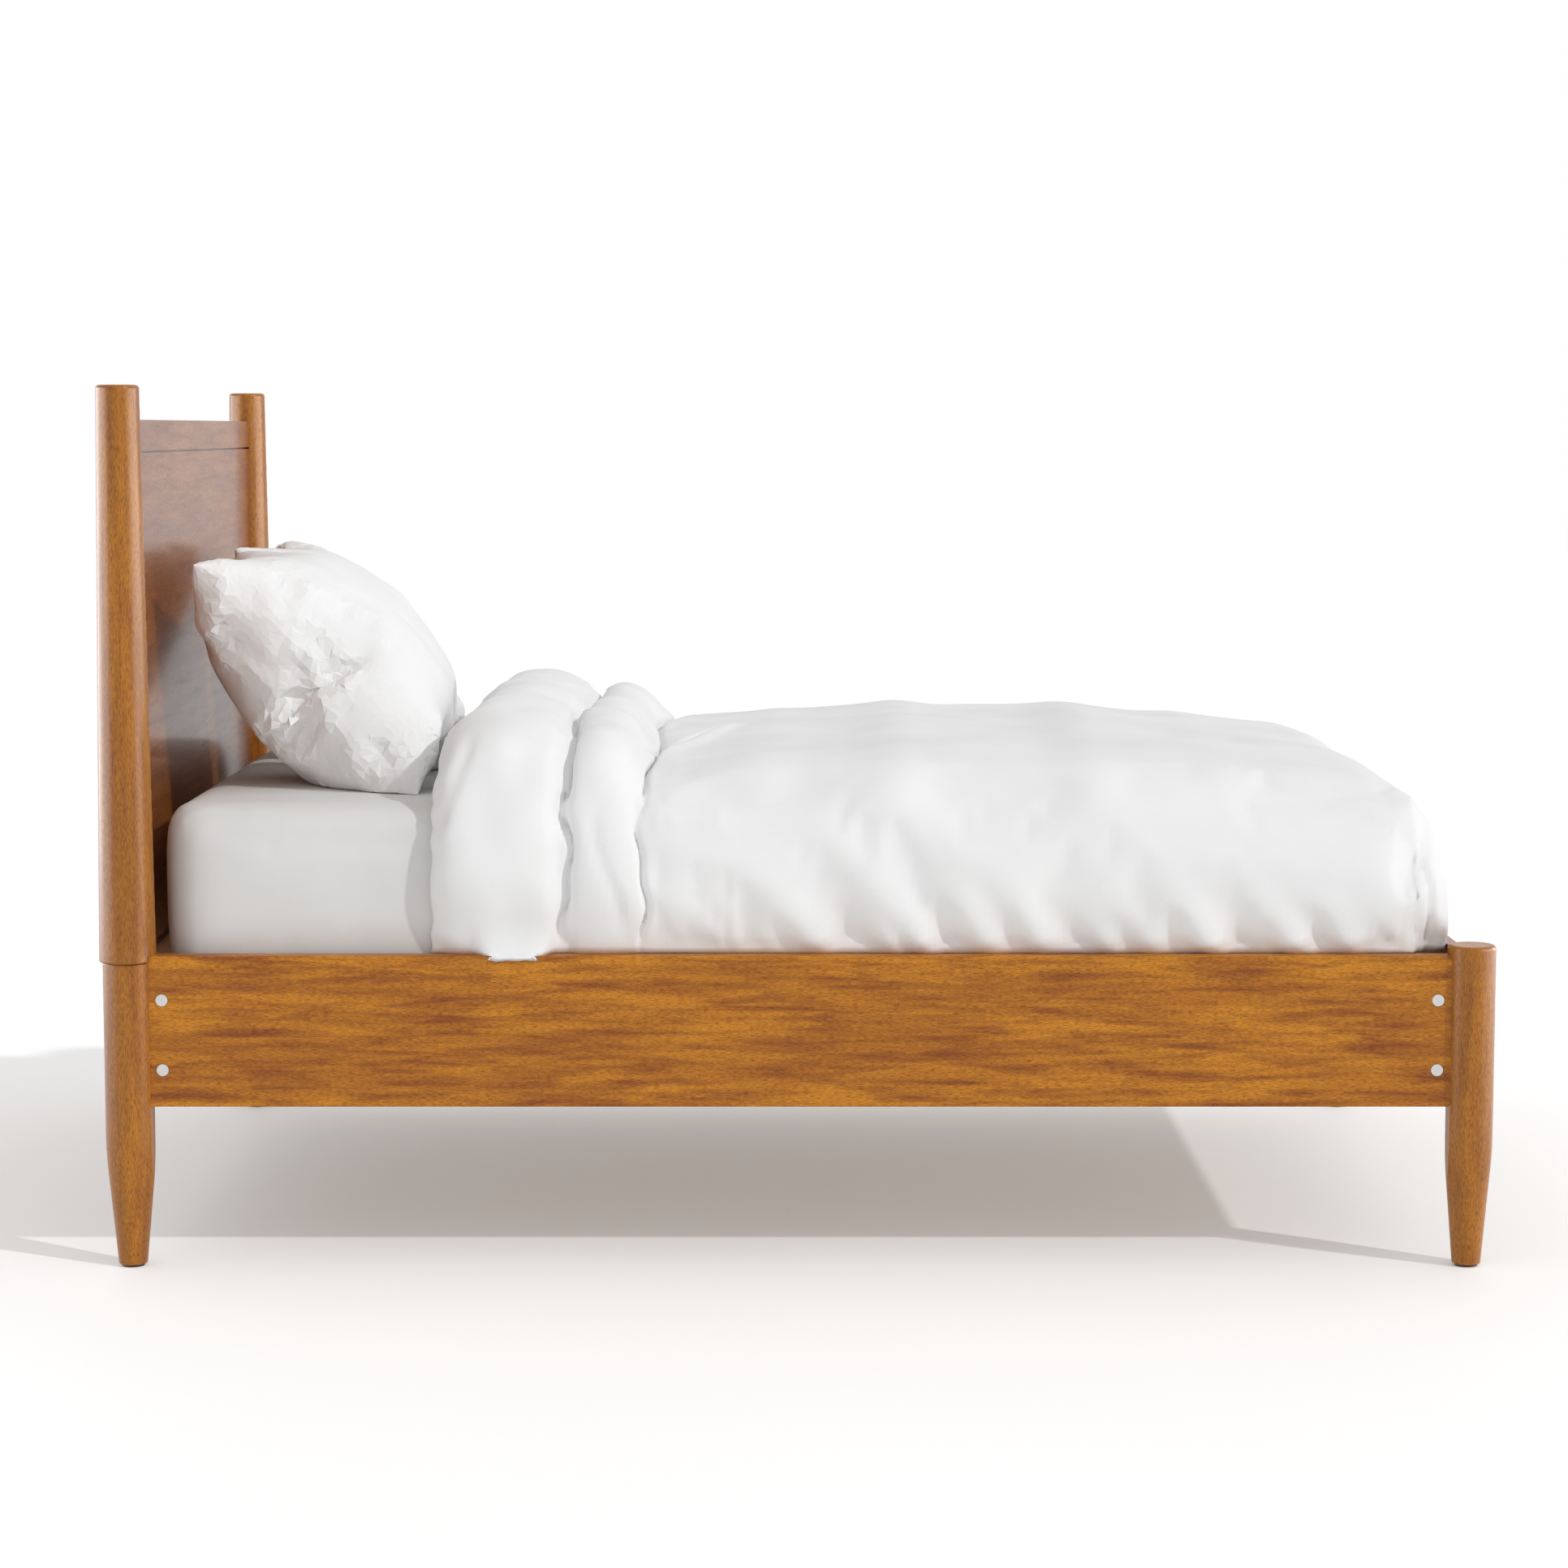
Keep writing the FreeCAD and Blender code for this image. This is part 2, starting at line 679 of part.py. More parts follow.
# Ledgers carry the slats and are screwed to the inner faces of the side rails.
slat_screw_hole = total(cell("slat_screw_width"), clear, clear)
slat_head_hole = total(cell("slat_screw_head"), clear, clear)
slat_top = mattress_base
slat_seat = less(slat_top, cell("slat_screw_sink"))
slat_screw_tip = less(slat_top, cell("slat_screw_length"))
ledger_screws = []
for side in sides:
    name = "slat_ledger_" + side
    strip = block(name + "_blank",
                  (ledger_start, low_across(side, ledger_inner, rail_inner),
                   less(bearing_height, cell("ledger_depth"))),
                  (ledger_length, cell("ledger_thickness"), cell("ledger_depth")))
    tools = []
    for index, station in enumerate(ledger_stations, start=1):
        tag = "%s_%d" % (side, index)
        seat = total(ledger_inner, cell("ledger_screw_sink"))
        tools.append(outward_rod("ledger_bore_" + tag, station, side, ledger_screw_height,
                                 less(ledger_inner, overrun), total(rail_inner, overrun),
                                 ledger_screw_hole))
        tools.append(outward_rod("ledger_sink_" + tag, station, side, ledger_screw_height,
                                 less(ledger_inner, overrun), seat, ledger_head_hole))
        ledger_screws.append(joined("ledger_screw_" + tag, [
            outward_rod("ledger_screw_head_" + tag, station, side, ledger_screw_height,
                        ledger_inner, seat, cell("ledger_screw_head")),
            outward_rod("ledger_screw_shank_" + tag, station, side, ledger_screw_height,
                        ledger_inner, ledger_screw_tip, cell("ledger_screw_width")),
        ]))
    for index, station in enumerate(slat_stations, start=1):
        tools.append(rod("ledger_slat_bore_%s_%d" % (side, index),
                         (station, across(side, slat_screw_out), less(slat_screw_tip, clear)),
                         slat_screw_hole, less(slat_top, slat_screw_tip), along_z))
    finished(carved(name, strip, tools), name)
grouped("ledger_screws", ledger_screws)

# Slats lie across the ledgers and the centre beam, one screw at each end.
slat_half = total(half_spread, less(rail_inner, cell("slat_end_clearance")))
slat_screws = []
for index, station in enumerate(slat_stations, start=1):
    name = "slat_%02d" % index
    board = block(name + "_blank",
                  (less(station, half(cell("slat_width"))), flip(slat_half), bearing_height),
                  (cell("slat_width"), total(slat_half, slat_half), cell("slat_thickness")))
    tools = []
    for side in sides:
        tag = "%s_%d" % (side, index)
        where = across(side, slat_screw_out)
        tools.append(rod("slat_bore_" + tag, (station, where, less(bearing_height, overrun)),
                         slat_screw_hole, total(cell("slat_thickness"), overrun, overrun),
                         along_z))
        tools.append(rod("slat_sink_" + tag, (station, where, slat_seat), slat_head_hole,
                         total(cell("slat_screw_sink"), overrun), along_z))
        slat_screws.append(joined("slat_screw_" + tag, [
            rod("slat_screw_head_" + tag, (station, where, slat_seat),
                cell("slat_screw_head"), less(cell("slat_screw_sink"), clear), along_z),
            rod("slat_screw_shank_" + tag, (station, where, slat_screw_tip),
                cell("slat_screw_width"),
                less(cell("slat_screw_length"), clear), along_z),
        ]))
    finished(carved(name, board, tools), name)
grouped("slat_screws", slat_screws)


# A soft block with round upright corners and round top and bottom rims.
def cushion(name, low, lengths, corner, rim):
    blank = block(name + "_blank", low, lengths)
    doc.recompute()
    upright = []
    for number, edge in enumerate(blank.Shape.Edges, start=1):
        if abs(edge.tangentAt(edge.FirstParameter).z) > parallel_share:
            upright.append((number, corner, corner))
    corners = doc.addObject("Part::Fillet", name + "_corners")
    corners.Base = blank
    corners.Edges = upright
    doc.recompute()
    top = corners.Shape.BoundBox.ZMax
    rims = []
    for number, edge in enumerate(corners.Shape.Edges, start=1):
        box = edge.BoundBox
        if box.ZLength < size("fit_clearance") and abs(box.ZMax - top) < rim:
            rims.append((number, rim, rim))
    item = doc.addObject("Part::Fillet", name)
    item.Base = corners
    item.Edges = rims
    doc.recompute()
    return item


# Mattress: a foam block, flat on top with broad round edges.
mattress_x = total(head_x, cell("mattress_head_offset"))
mattress_length = less(spacing_long, cell("mattress_head_offset"), cell("mattress_foot_offset"))
mattress_half = less(half_spread, cell("mattress_side_offset"))
mattress_y = flip(mattress_half)
mattress_width = total(mattress_half, mattress_half)
mattress_top = total(mattress_base, cell("mattress_thickness"))
finished(cushion("mattress", (mattress_x, mattress_y, mattress_base),
                 (mattress_length, mattress_width, cell("mattress_thickness")),
                 size("mattress_corner_radius"), size("mattress_edge_radius")), "mattress")


head_line = value(head_x)
foot_line = value(foot_x)
top_line = value(mattress_top)
rail_line = value(rail_top)
side_line = value(mattress_half)

# Duvet: shares of its length, of its crown and of its wall at each station, head to foot.
station_shares = (0, 0.008, 0.022, 0.05, 0.085, 0.108, 0.121, 0.134, 0.153, 0.178, 0.197, 0.211,
                  0.235, 0.28, 0.34, 0.4, 0.5, 0.6, 0.7, 0.793, 0.882, 0.934, 0.971, 0.989, 1)
crown_shares = (1, 1.12, 1.25, 1.36, 1.28, 1.15, 1.08, 1.13, 1.14, 0.95, 0.62, 0.53,
                0.51, 0.54, 0.59, 0.65, 0.72, 0.68, 0.7, 0.56, 0.43, 0.28, -0.02, -0.36, -0.95)
wall_shares = (0.7, 1, 1.2, 1.3, 1.33, 1.2, 0.9, 1.1, 1.2, 1.2, 1.05, 0.85,
               0.82, 0.85, 0.9, 0.95, 1, 1, 1, 0.97, 0.95, 0.8, 0.4, 0.1, -0.3)
shoulder_share = 0.62
crest_share = 0.945
arc_share = 0.7071


def duvet_section(x, crest, out):
    low = rail_line + size("soft_gap")
    shoulder = low + shoulder_share * (crest - low)
    rise = low + crest_share * (crest - low)
    inset = size("duvet_shoulder_inset")
    bulge = size("duvet_side_bulge")
    middle = (low + shoulder) / 2
    turn_out = out - (1 - arc_share) * inset
    turn_up = shoulder + arc_share * (rise - shoulder)
    spots = {
        "foot": (out - bulge, low), "side": (out + bulge / 2, middle), "hip": (out, shoulder),
        "turn": (turn_out, turn_up), "crest": (out - inset, rise),
    }
    near = {key: FreeCAD.Vector(x, -spot[0], spot[1]) for key, spot in spots.items()}
    far = {key: FreeCAD.Vector(x, spot[0], spot[1]) for key, spot in spots.items()}
    peak = FreeCAD.Vector(x, 0, crest)
    edges = [
        Part.Arc(near["foot"], near["side"], near["hip"]).toShape(),
        Part.Arc(near["hip"], near["turn"], near["crest"]).toShape(),
        Part.Arc(near["crest"], peak, far["crest"]).toShape(),
        Part.Arc(far["crest"], far["turn"], far["hip"]).toShape(),
        Part.Arc(far["hip"], far["side"], far["foot"]).toShape(),
        Part.LineSegment(far["foot"], near["foot"]).toShape(),
    ]
    return Part.Wire(edges)


duvet_start = head_line + size("duvet_head_offset")
duvet_end = foot_line - size("duvet_foot_offset")
sections = []
for along, crown, wall in zip(station_shares, crown_shares, wall_shares):
    sections.append(duvet_section(
        duvet_start + along * (duvet_end - duvet_start),
        top_line + crown * size("duvet_crown"),
        side_line + wall * size("duvet_wall")))
duvet_form = doc.addObject("Part::Feature", "duvet_form")
duvet_form.Shape = Part.makeLoft(sections, True, False)
cavity_clear = cell("duvet_cavity_clearance")
hollow = cushion(
    "duvet_hollow",
    (mattress_x, less(mattress_y, cavity_clear), mattress_base),
    (total(mattress_length, cavity_clear), total(mattress_width, cavity_clear, cavity_clear),
     total(cell("mattress_thickness"), cell("soft_gap"))),
    size("mattress_corner_radius"), size("mattress_edge_radius"))
finished(carved("duvet", duvet_form, [hollow]), "duvet")

# Pillows: full in the middle, thin at the seams, leaning back towards the headboard.
width_shares = (0, 0.1, 0.28, 0.5, 0.72, 0.9, 1)
fill_shares = (0.05, 0.52, 0.88, 1, 0.88, 0.52, 0.05)
seam_shares = (1, 0.965, 0.95, 0.95, 0.95, 0.965, 1)
middle_share = 0.5
rise = size("pillow_rise_height")
run = math.sqrt(size("pillow_length") ** 2 - rise ** 2)
lean = FreeCAD.Vector(-run, 0, rise) / size("pillow_length")
front = FreeCAD.Vector(rise, 0, run) / size("pillow_length")


def pillow_section(y, seam, fill):
    middle = FreeCAD.Vector(-run / 2, y, rise / 2)
    upper = middle + lean * (seam * size("pillow_length") / 2)
    lower = middle - lean * (seam * size("pillow_length") / 2)
    fore = middle + front * (fill * size("pillow_front_bulge"))
    back = middle - front * (fill * size("pillow_back_bulge"))
    return Part.Wire([Part.Arc(lower, fore, upper).toShape(),
                      Part.Arc(upper, back, lower).toShape()])


for side in sides:
    name = "pillow_" + side
    width = size("pillow_width")
    pillow = doc.addObject("Part::Feature", name)
    pillow.Shape = Part.makeLoft(
        [pillow_section((along - middle_share) * width, seam, fill)
         for along, seam, fill in zip(width_shares, seam_shares, fill_shares)], True, False)
    lowest = pillow.Shape.optimalBoundingBox(False, False).ZMin
    pillow.Placement = FreeCAD.Placement(
        FreeCAD.Vector(head_line + size("pillow_foot_offset"),
                       sides[side] * (width + size("pillow_gap")) / 2,
                       top_line + size("soft_gap") - lowest),
        FreeCAD.Rotation())
    finished(pillow, name)

doc.recompute()
for item in doc.Objects:
    if "Invalid" in item.State or "Error" in item.State:
        raise RuntimeError(item.Name + " is " + str(item.State))
os.makedirs("parts", exist_ok=True)
for item in nodes:
    if item.Shape.isNull() or not item.Shape.isValid():
        raise RuntimeError(item.Label + " has no valid shape")
    item.Shape.exportStep("parts/" + item.Label + ".step")
    print(item.Label, len(item.Shape.Solids), round(item.Shape.Volume / 1e6, 4))
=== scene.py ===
import bpy
import bmesh
import math
import numpy as np
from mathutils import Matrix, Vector, noise


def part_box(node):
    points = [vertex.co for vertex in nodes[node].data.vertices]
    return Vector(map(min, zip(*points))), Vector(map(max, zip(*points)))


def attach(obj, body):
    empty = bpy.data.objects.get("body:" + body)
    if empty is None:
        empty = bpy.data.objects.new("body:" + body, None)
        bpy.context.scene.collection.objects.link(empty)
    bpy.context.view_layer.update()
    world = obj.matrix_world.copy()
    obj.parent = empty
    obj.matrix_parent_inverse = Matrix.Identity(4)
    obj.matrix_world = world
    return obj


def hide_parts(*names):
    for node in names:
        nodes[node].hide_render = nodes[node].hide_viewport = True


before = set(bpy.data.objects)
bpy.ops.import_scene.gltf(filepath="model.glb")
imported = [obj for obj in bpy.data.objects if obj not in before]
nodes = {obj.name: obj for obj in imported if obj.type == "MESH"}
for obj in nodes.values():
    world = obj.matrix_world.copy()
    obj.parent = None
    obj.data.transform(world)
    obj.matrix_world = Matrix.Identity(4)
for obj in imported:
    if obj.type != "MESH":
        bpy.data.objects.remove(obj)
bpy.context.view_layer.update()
scene = bpy.context.scene
print("frame loaded:", len(nodes), "nodes")


def srgb(code):  # hex colour as it looks on screen, to linear
    parts = [int(code[i:i + 2], 16) / 255 for i in (1, 3, 5)]
    return [p / 12.92 if p <= 0.04045 else ((p + 0.055) / 1.055) ** 2.4 for p in parts] + [1]


def put(tree, kind, settings=None, links=None, output=0):  # one node, its settings and what feeds it
    node = tree.nodes.new(kind)
    for key, value in (settings or {}).items():
        if key == "stops":
            marks = node.color_ramp.elements
            while len(marks) < len(value):
                marks.new(0.5)
            for mark, (place, colour) in zip(marks, value):
                mark.position, mark.color = place, srgb(colour)
        elif isinstance(key, int) or key in node.inputs:
            node.inputs[key].default_value = value
        else:
            setattr(node, key, value)
    for key, source in (links or {}).items():
        tree.links.new(source, node.inputs[key])
    return node.outputs[output] if node.outputs else node


def blankMaterial(name):
    material = bpy.data.materials.new(name)
    material.use_nodes = True
    material.node_tree.nodes.clear()
    return material, material.node_tree


def patterns(tree, seat, table):  # by name: cell size in mm along x, y and z, detail, roughness, bend
    fields = {}
    for name, (lengths, detail, rough, bend) in table.items():
        stretched = put(tree, "ShaderNodeMapping", {"Scale": [1000 / l for l in lengths]}, {"Vector": seat})
        fields[name] = put(tree, "ShaderNodeTexNoise",
                           {"Scale": 1.0, "Detail": detail, "Roughness": rough, "Distortion": bend},
                           {"Vector": stretched})
    return fields


turns = {"x": (0, 0, 0), "y": (0, 0, -math.pi / 2), "z": (0, math.pi / 2, 0)}  # brings the grain to x
tint = {"data_type": "RGBA"}  # a mix of colours: input 0 the share, 6 and 7 the two, output 2
stain = {"data_type": "RGBA", "blend_type": "MULTIPLY"}


# Stained hardwood under satin lacquer: amber ground, red-brown ribbon streaks, short marks across
# the grain, fine dark pores, and a thin clear coat that whitens at grazing angles.
woodCells = {"broad": ((420, 42, 42), 2, 0.5, 0.4), "streak": ((150, 15, 15), 4, 0.62, 0.4),
             "figure": ((8, 24, 24), 2, 0.5, 0.6), "pores": ((9, 0.9, 0.9), 3, 0.7, 0.0)}


def stainedWood(name, grain, light, mid, dark, streakAmount, coat, coatRough):
    material, tree = blankMaterial(name)
    seat = put(tree, "ShaderNodeTexCoord", output="Object")
    turned = put(tree, "ShaderNodeMapping", {"Rotation": turns[grain]}, {"Vector": seat})
    fields = patterns(tree, turned, woodCells)
    ground = put(tree, "ShaderNodeValToRGB", {"stops": [(0.36, mid), (0.6, light)]}, {"Fac": fields["broad"]})
    ribbon = put(tree, "ShaderNodeValToRGB", {"stops": [(0.41, "#000000"), (0.68, "#FFFFFF")]},
                 {"Fac": fields["streak"]})
    share = put(tree, "ShaderNodeMath", {"operation": "MULTIPLY", 1: streakAmount}, {0: ribbon})
    streaked = put(tree, "ShaderNodeMix", {**tint, 7: srgb(dark)}, {0: share, 6: ground}, 2)
    marks = put(tree, "ShaderNodeValToRGB", {"stops": [(0.45, "#000000"), (0.72, "#606060")]},
                {"Fac": fields["figure"]})
    figured = put(tree, "ShaderNodeMix", {**tint, 7: srgb(dark)}, {0: marks, 6: streaked}, 2)
    pits = put(tree, "ShaderNodeValToRGB", {"stops": [(0.36, "#8C7050"), (0.55, "#FFFFFF")]},
               {"Fac": fields["pores"]})
    finished = put(tree, "ShaderNodeMix", {**stain, 0: 0.75}, {6: figured, 7: pits}, 2)
    rough = put(tree, "ShaderNodeMapRange", {"To Min": 0.3, "To Max": 0.45}, {"Value": fields["streak"]})
    bump = put(tree, "ShaderNodeBump", {"Strength": 0.06, "Distance": 0.0003}, {"Height": fields["pores"]})
    shader = put(tree, "ShaderNodeBsdfPrincipled",
                 {"IOR": 1.5, "Specular IOR Level": 0.1,
                  "Coat Weight": coat, "Coat Roughness": coatRough, "Coat IOR": 1.5},
                 {"Base Color": finished, "Roughness": rough, "Normal": bump})
    put(tree, "ShaderNodeOutputMaterial", {}, {"Surface": shader})
    return material


# Planed pine, unfinished: pale straw, darker growth rings, matt.
pineCells = {"rings": ((600, 7, 14), 3, 0.5, 0.3), "fibre": ((30, 0.8, 0.8), 2, 0.6, 0.0)}


def planedPine(name, grain):
    material, tree = blankMaterial(name)
    seat = put(tree, "ShaderNodeTexCoord", output="Object")
    turned = put(tree, "ShaderNodeMapping", {"Rotation": turns[grain]}, {"Vector": seat})
    fields = patterns(tree, turned, pineCells)
    ground = put(tree, "ShaderNodeValToRGB",
                 {"stops": [(0.38, "#B98E58"), (0.5, "#D9B98A"), (0.66, "#E2C79C")]}, {"Fac": fields["rings"]})
    threads = put(tree, "ShaderNodeValToRGB", {"stops": [(0.35, "#C9B79E"), (0.6, "#FFFFFF")]},
                  {"Fac": fields["fibre"]})
    finished = put(tree, "ShaderNodeMix", {**stain, 0: 0.6}, {6: ground, 7: threads}, 2)
    bump = put(tree, "ShaderNodeBump", {"Strength": 0.15, "Distance": 0.0004}, {"Height": fields["fibre"]})
    rough = put(tree, "ShaderNodeMapRange", {"To Min": 0.55, "To Max": 0.7}, {"Value": fields["rings"]})
    shader = put(tree, "ShaderNodeBsdfPrincipled", {"IOR": 1.48},
                 {"Base Color": finished, "Roughness": rough, "Normal": bump})
    put(tree, "ShaderNodeOutputMaterial", {}, {"Surface": shader})
    return material


# Zinc plated steel: bright grey with cloudy patches from the plating bath.
def zincSteel(name):
    material, tree = blankMaterial(name)
    seat = put(tree, "ShaderNodeTexCoord", output="Object")
    cloud = patterns(tree, seat, {"cloud": ((6, 6, 6), 4, 0.6, 0.0)})["cloud"]
    tone = put(tree, "ShaderNodeValToRGB", {"stops": [(0.3, "#AFAFB2"), (0.7, "#CFCFD0")]}, {"Fac": cloud})
    rough = put(tree, "ShaderNodeMapRange", {"To Min": 0.25, "To Max": 0.42}, {"Value": cloud})
    shader = put(tree, "ShaderNodeBsdfPrincipled", {"Metallic": 1.0}, {"Base Color": tone, "Roughness": rough})
    put(tree, "ShaderNodeOutputMaterial", {}, {"Surface": shader})
    return material


# Moulded plastic: one colour with a faint fine grain from the mould.
def mouldedPlastic(name, low, high, rough, grit):
    material, tree = blankMaterial(name)
    seat = put(tree, "ShaderNodeTexCoord", output="Object")
    grain = patterns(tree, seat, {"grain": ((grit, grit, grit), 3, 0.6, 0.0)})["grain"]
    tone = put(tree, "ShaderNodeValToRGB", {"stops": [(0.3, low), (0.7, high)]}, {"Fac": grain})
    dull = put(tree, "ShaderNodeMapRange", {"To Min": rough - 0.06, "To Max": rough + 0.06}, {"Value": grain})
    bump = put(tree, "ShaderNodeBump", {"Strength": 0.08, "Distance": 0.0002}, {"Height": grain})
    shader = put(tree, "ShaderNodeBsdfPrincipled", {"IOR": 1.46},
                 {"Base Color": tone, "Roughness": dull, "Normal": bump})
    put(tree, "ShaderNodeOutputMaterial", {}, {"Surface": shader})
    return material


# Woven cotton, white: threads cross at right angles, a faint bloom at the edges, no gloss.
# Real threads are 0.3 mm apart; they are drawn wider so that they show.
cottonThread = {"apart": 1.6, "long": 14}  # mm, and times as long as wide


def wovenCotton(name, low, high, sheen):
    material, tree = blankMaterial(name)
    seat = put(tree, "ShaderNodeTexCoord", output="Object")
    table = {"soft": ((160, 160, 160), 3, 0.5, 0.0)}
    for axis in (0, 1, 2):
        lengths = [cottonThread["apart"] * cottonThread["long"]] * 3
        lengths[axis] = cottonThread["apart"]
        table[axis] = (lengths, 1, 0.5, 0.0)
    fields = patterns(tree, seat, table)
    tone = put(tree, "ShaderNodeValToRGB", {"stops": [(0.35, low), (0.65, high)]}, {"Fac": fields["soft"]})
    pair = put(tree, "ShaderNodeMath", {"operation": "ADD"}, {0: fields[0], 1: fields[1]})
    cloth = put(tree, "ShaderNodeMath", {"operation": "ADD"}, {0: pair, 1: fields[2]})
    bump = put(tree, "ShaderNodeBump", {"Strength": 0.1, "Distance": 0.0006}, {"Height": cloth})
    rough = put(tree, "ShaderNodeMapRange", {"To Min": 0.82, "To Max": 0.95}, {"Value": fields["soft"]})
    shader = put(tree, "ShaderNodeBsdfPrincipled",
                 {"IOR": 1.46, "Specular IOR Level": 0.0, "Sheen Weight": sheen, "Sheen Roughness": 0.5},
                 {"Base Color": tone, "Roughness": rough, "Normal": bump})
    put(tree, "ShaderNodeOutputMaterial", {}, {"Surface": shader})
    return material


railWood = stainedWood("stainedHardwoodAlong", "x", "#D98F2A", "#C17A27", "#8B4822", 0.85, 0.25, 0.25)
postWood = stainedWood("stainedHardwoodTurned", "z", "#BF7B22", "#A96A20", "#86481D", 0.5, 0.5, 0.3)
boardWood = stainedWood("stainedHardwoodAcross", "y", "#A8662A", "#925424", "#70391B", 0.5, 0.4, 0.12)
pineAlong = planedPine("planedPineAlong", "x")
pineAcross = planedPine("planedPineAcross", "y")
beech = planedPine("turnedBeech", "x")
zinc = zincSteel("zincPlatedSteel")
capPlastic = mouldedPlastic("mouldedCapPlastic", "#D6D4D1", "#E2E0DD", 0.4, 3)
glideNylon = mouldedPlastic("mouldedGlideNylon", "#2E2118", "#3E2E22", 0.55, 2)
sheetCotton = wovenCotton("wovenSheetCotton", "#DFDEDD", "#E4E4E3", 0.03)
beddingCotton = wovenCotton("wovenBeddingCotton", "#F1F1F1", "#F6F6F6", 0.02)

finishes = {
    "head_post_near": postWood, "head_post_far": postWood, "head_leg_near": postWood, "head_leg_far": postWood,
    "foot_post_near": postWood, "foot_post_far": postWood, "headboard_top_rail": boardWood,
    "headboard_panel": boardWood, "headboard_base_rail": boardWood, "head_rail": boardWood,
    "footboard": boardWood, "side_rail_near": railWood, "side_rail_far": railWood,
    "centre_beam": pineAlong, "slat_ledger_near": pineAlong, "slat_ledger_far": pineAlong,
    "rail_bolts": zinc, "cross_nuts": zinc, "post_studs": zinc, "ledger_screws": zinc, "slat_screws": zinc,
    "rail_dowels": beech, "bolt_caps": capPlastic, "floor_glides": glideNylon,
    "mattress": sheetCotton, "duvet": beddingCotton, "pillow_near": beddingCotton, "pillow_far": beddingCotton,
}
for name, node in nodes.items():
    node.data.materials.clear()
    node.data.materials.append(finishes.get(name, pineAcross))  # what is not named is a slat
print("wood, metal and plastic finishes set")


def settled(piece, name):  # what the modifiers give, as a plain mesh
    depsgraph = bpy.context.evaluated_depsgraph_get()
    mesh = bpy.data.meshes.new_from_object(piece.evaluated_get(depsgraph))
    piece.modifiers.clear()
    old = piece.data
    piece.data = mesh
    bpy.data.meshes.remove(old)
    piece.name = mesh.name = name
    return piece


def softBlank(node, voxel):  # a closed, even copy of a soft solid
    piece = nodes[node].copy()
    piece.data = nodes[node].data.copy()
    piece.parent = None
    for key in list(piece.keys()):
        del piece[key]
    scene.collection.objects.link(piece)
    form = bmesh.new()
    form.from_mesh(piece.data)
    bmesh.ops.remove_doubles(form, verts=form.verts, dist=1e-6)
    form.to_mesh(piece.data)
    form.free()
    grid = piece.modifiers.new("evenGrid", "REMESH")
    grid.mode = "VOXEL"
    grid.voxel_size = voxel
    grid.use_smooth_shade = True
    return settled(piece, node + "_soft")


def points(piece):
    spots = np.empty(len(piece.data.vertices) * 3)
    piece.data.vertices.foreach_get("co", spots)
    return spots.reshape(-1, 3)


def movePoints(piece, spots):
    piece.data.vertices.foreach_set("co", spots.ravel())
    piece.data.update()


clothLook = {"quality": 5, "mass": 0.3, "shearPart": 3}


def inflated(piece, look, held=""):  # blown up as cloth, no point further than the cap
    start = points(piece)
    cloth = piece.modifiers.new("cloth", "CLOTH")
    cloth.settings.quality = clothLook["quality"]
    cloth.settings.mass = clothLook["mass"]
    cloth.settings.tension_stiffness = cloth.settings.compression_stiffness = look["stiff"]
    cloth.settings.shear_stiffness = look["stiff"] / clothLook["shearPart"]
    cloth.settings.bending_stiffness = look["bend"]
    cloth.settings.use_pressure = True
    cloth.settings.uniform_pressure_force = look["pressure"]
    cloth.settings.shrink_min = look["slack"]
    cloth.settings.vertex_group_mass = held
    cloth.settings.effector_weights.gravity = 0
    cloth.collision_settings.use_collision = False
    cloth.point_cache.frame_start = 1
    cloth.point_cache.frame_end = look["frames"]
    for number in range(1, look["frames"] + 1):
        scene.frame_set(number)
    depsgraph = bpy.context.evaluated_depsgraph_get()
    swollen = points(piece.evaluated_get(depsgraph))
    piece.modifiers.remove(cloth)
    scene.frame_set(1)
    move = swollen - start
    far = np.linalg.norm(move, axis=1, keepdims=True)
    movePoints(piece, start + move * np.minimum(1, look["cap"] / np.maximum(far, 1e-9)))


def dress(piece, node, material):
    piece.data.materials.clear()
    piece.data.materials.append(material)
    piece.data.polygons.foreach_set("use_smooth", [True] * len(piece.data.polygons))
    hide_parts(node)
    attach(piece, node)


def step(low, high, value):  # smooth rise from 0 to 1
    share = np.clip((value - low) / (high - low), 0, 1)
    return share * share * (3 - 2 * share)


def bell(value, width):  # 1 in the middle, falling off on both sides
    return np.exp(-(value / width) ** 2)


def hills(spots):  # smooth random heights at places given in cells
    return np.array([noise.noise(Vector(s)) for s in spots])


# Mattress: foam block in a fitted sheet, tight on top, faint swell between its edges
mattressLook = {"voxel": 0.016, "pressure": 2.0, "frames": 12, "cap": 0.003, "stiff": 15.0, "bend": 0.5,
                "slack": 0.0, "fill": 0.95}
mattress = softBlank("mattress", mattressLook["voxel"])
inflated(mattress, mattressLook)
spots = points(mattress)
spots[:, 2] = np.minimum(spots[:, 2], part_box("mattress")[1].z)
movePoints(mattress, spots)
smooth = mattress.modifiers.new("round", "SUBSURF")
smooth.levels = smooth.render_levels = 1
mattress = settled(mattress, mattress.name)
dress(mattress, "mattress", sheetCotton)
print("mattress made:", len(mattress.data.polygons), "faces")


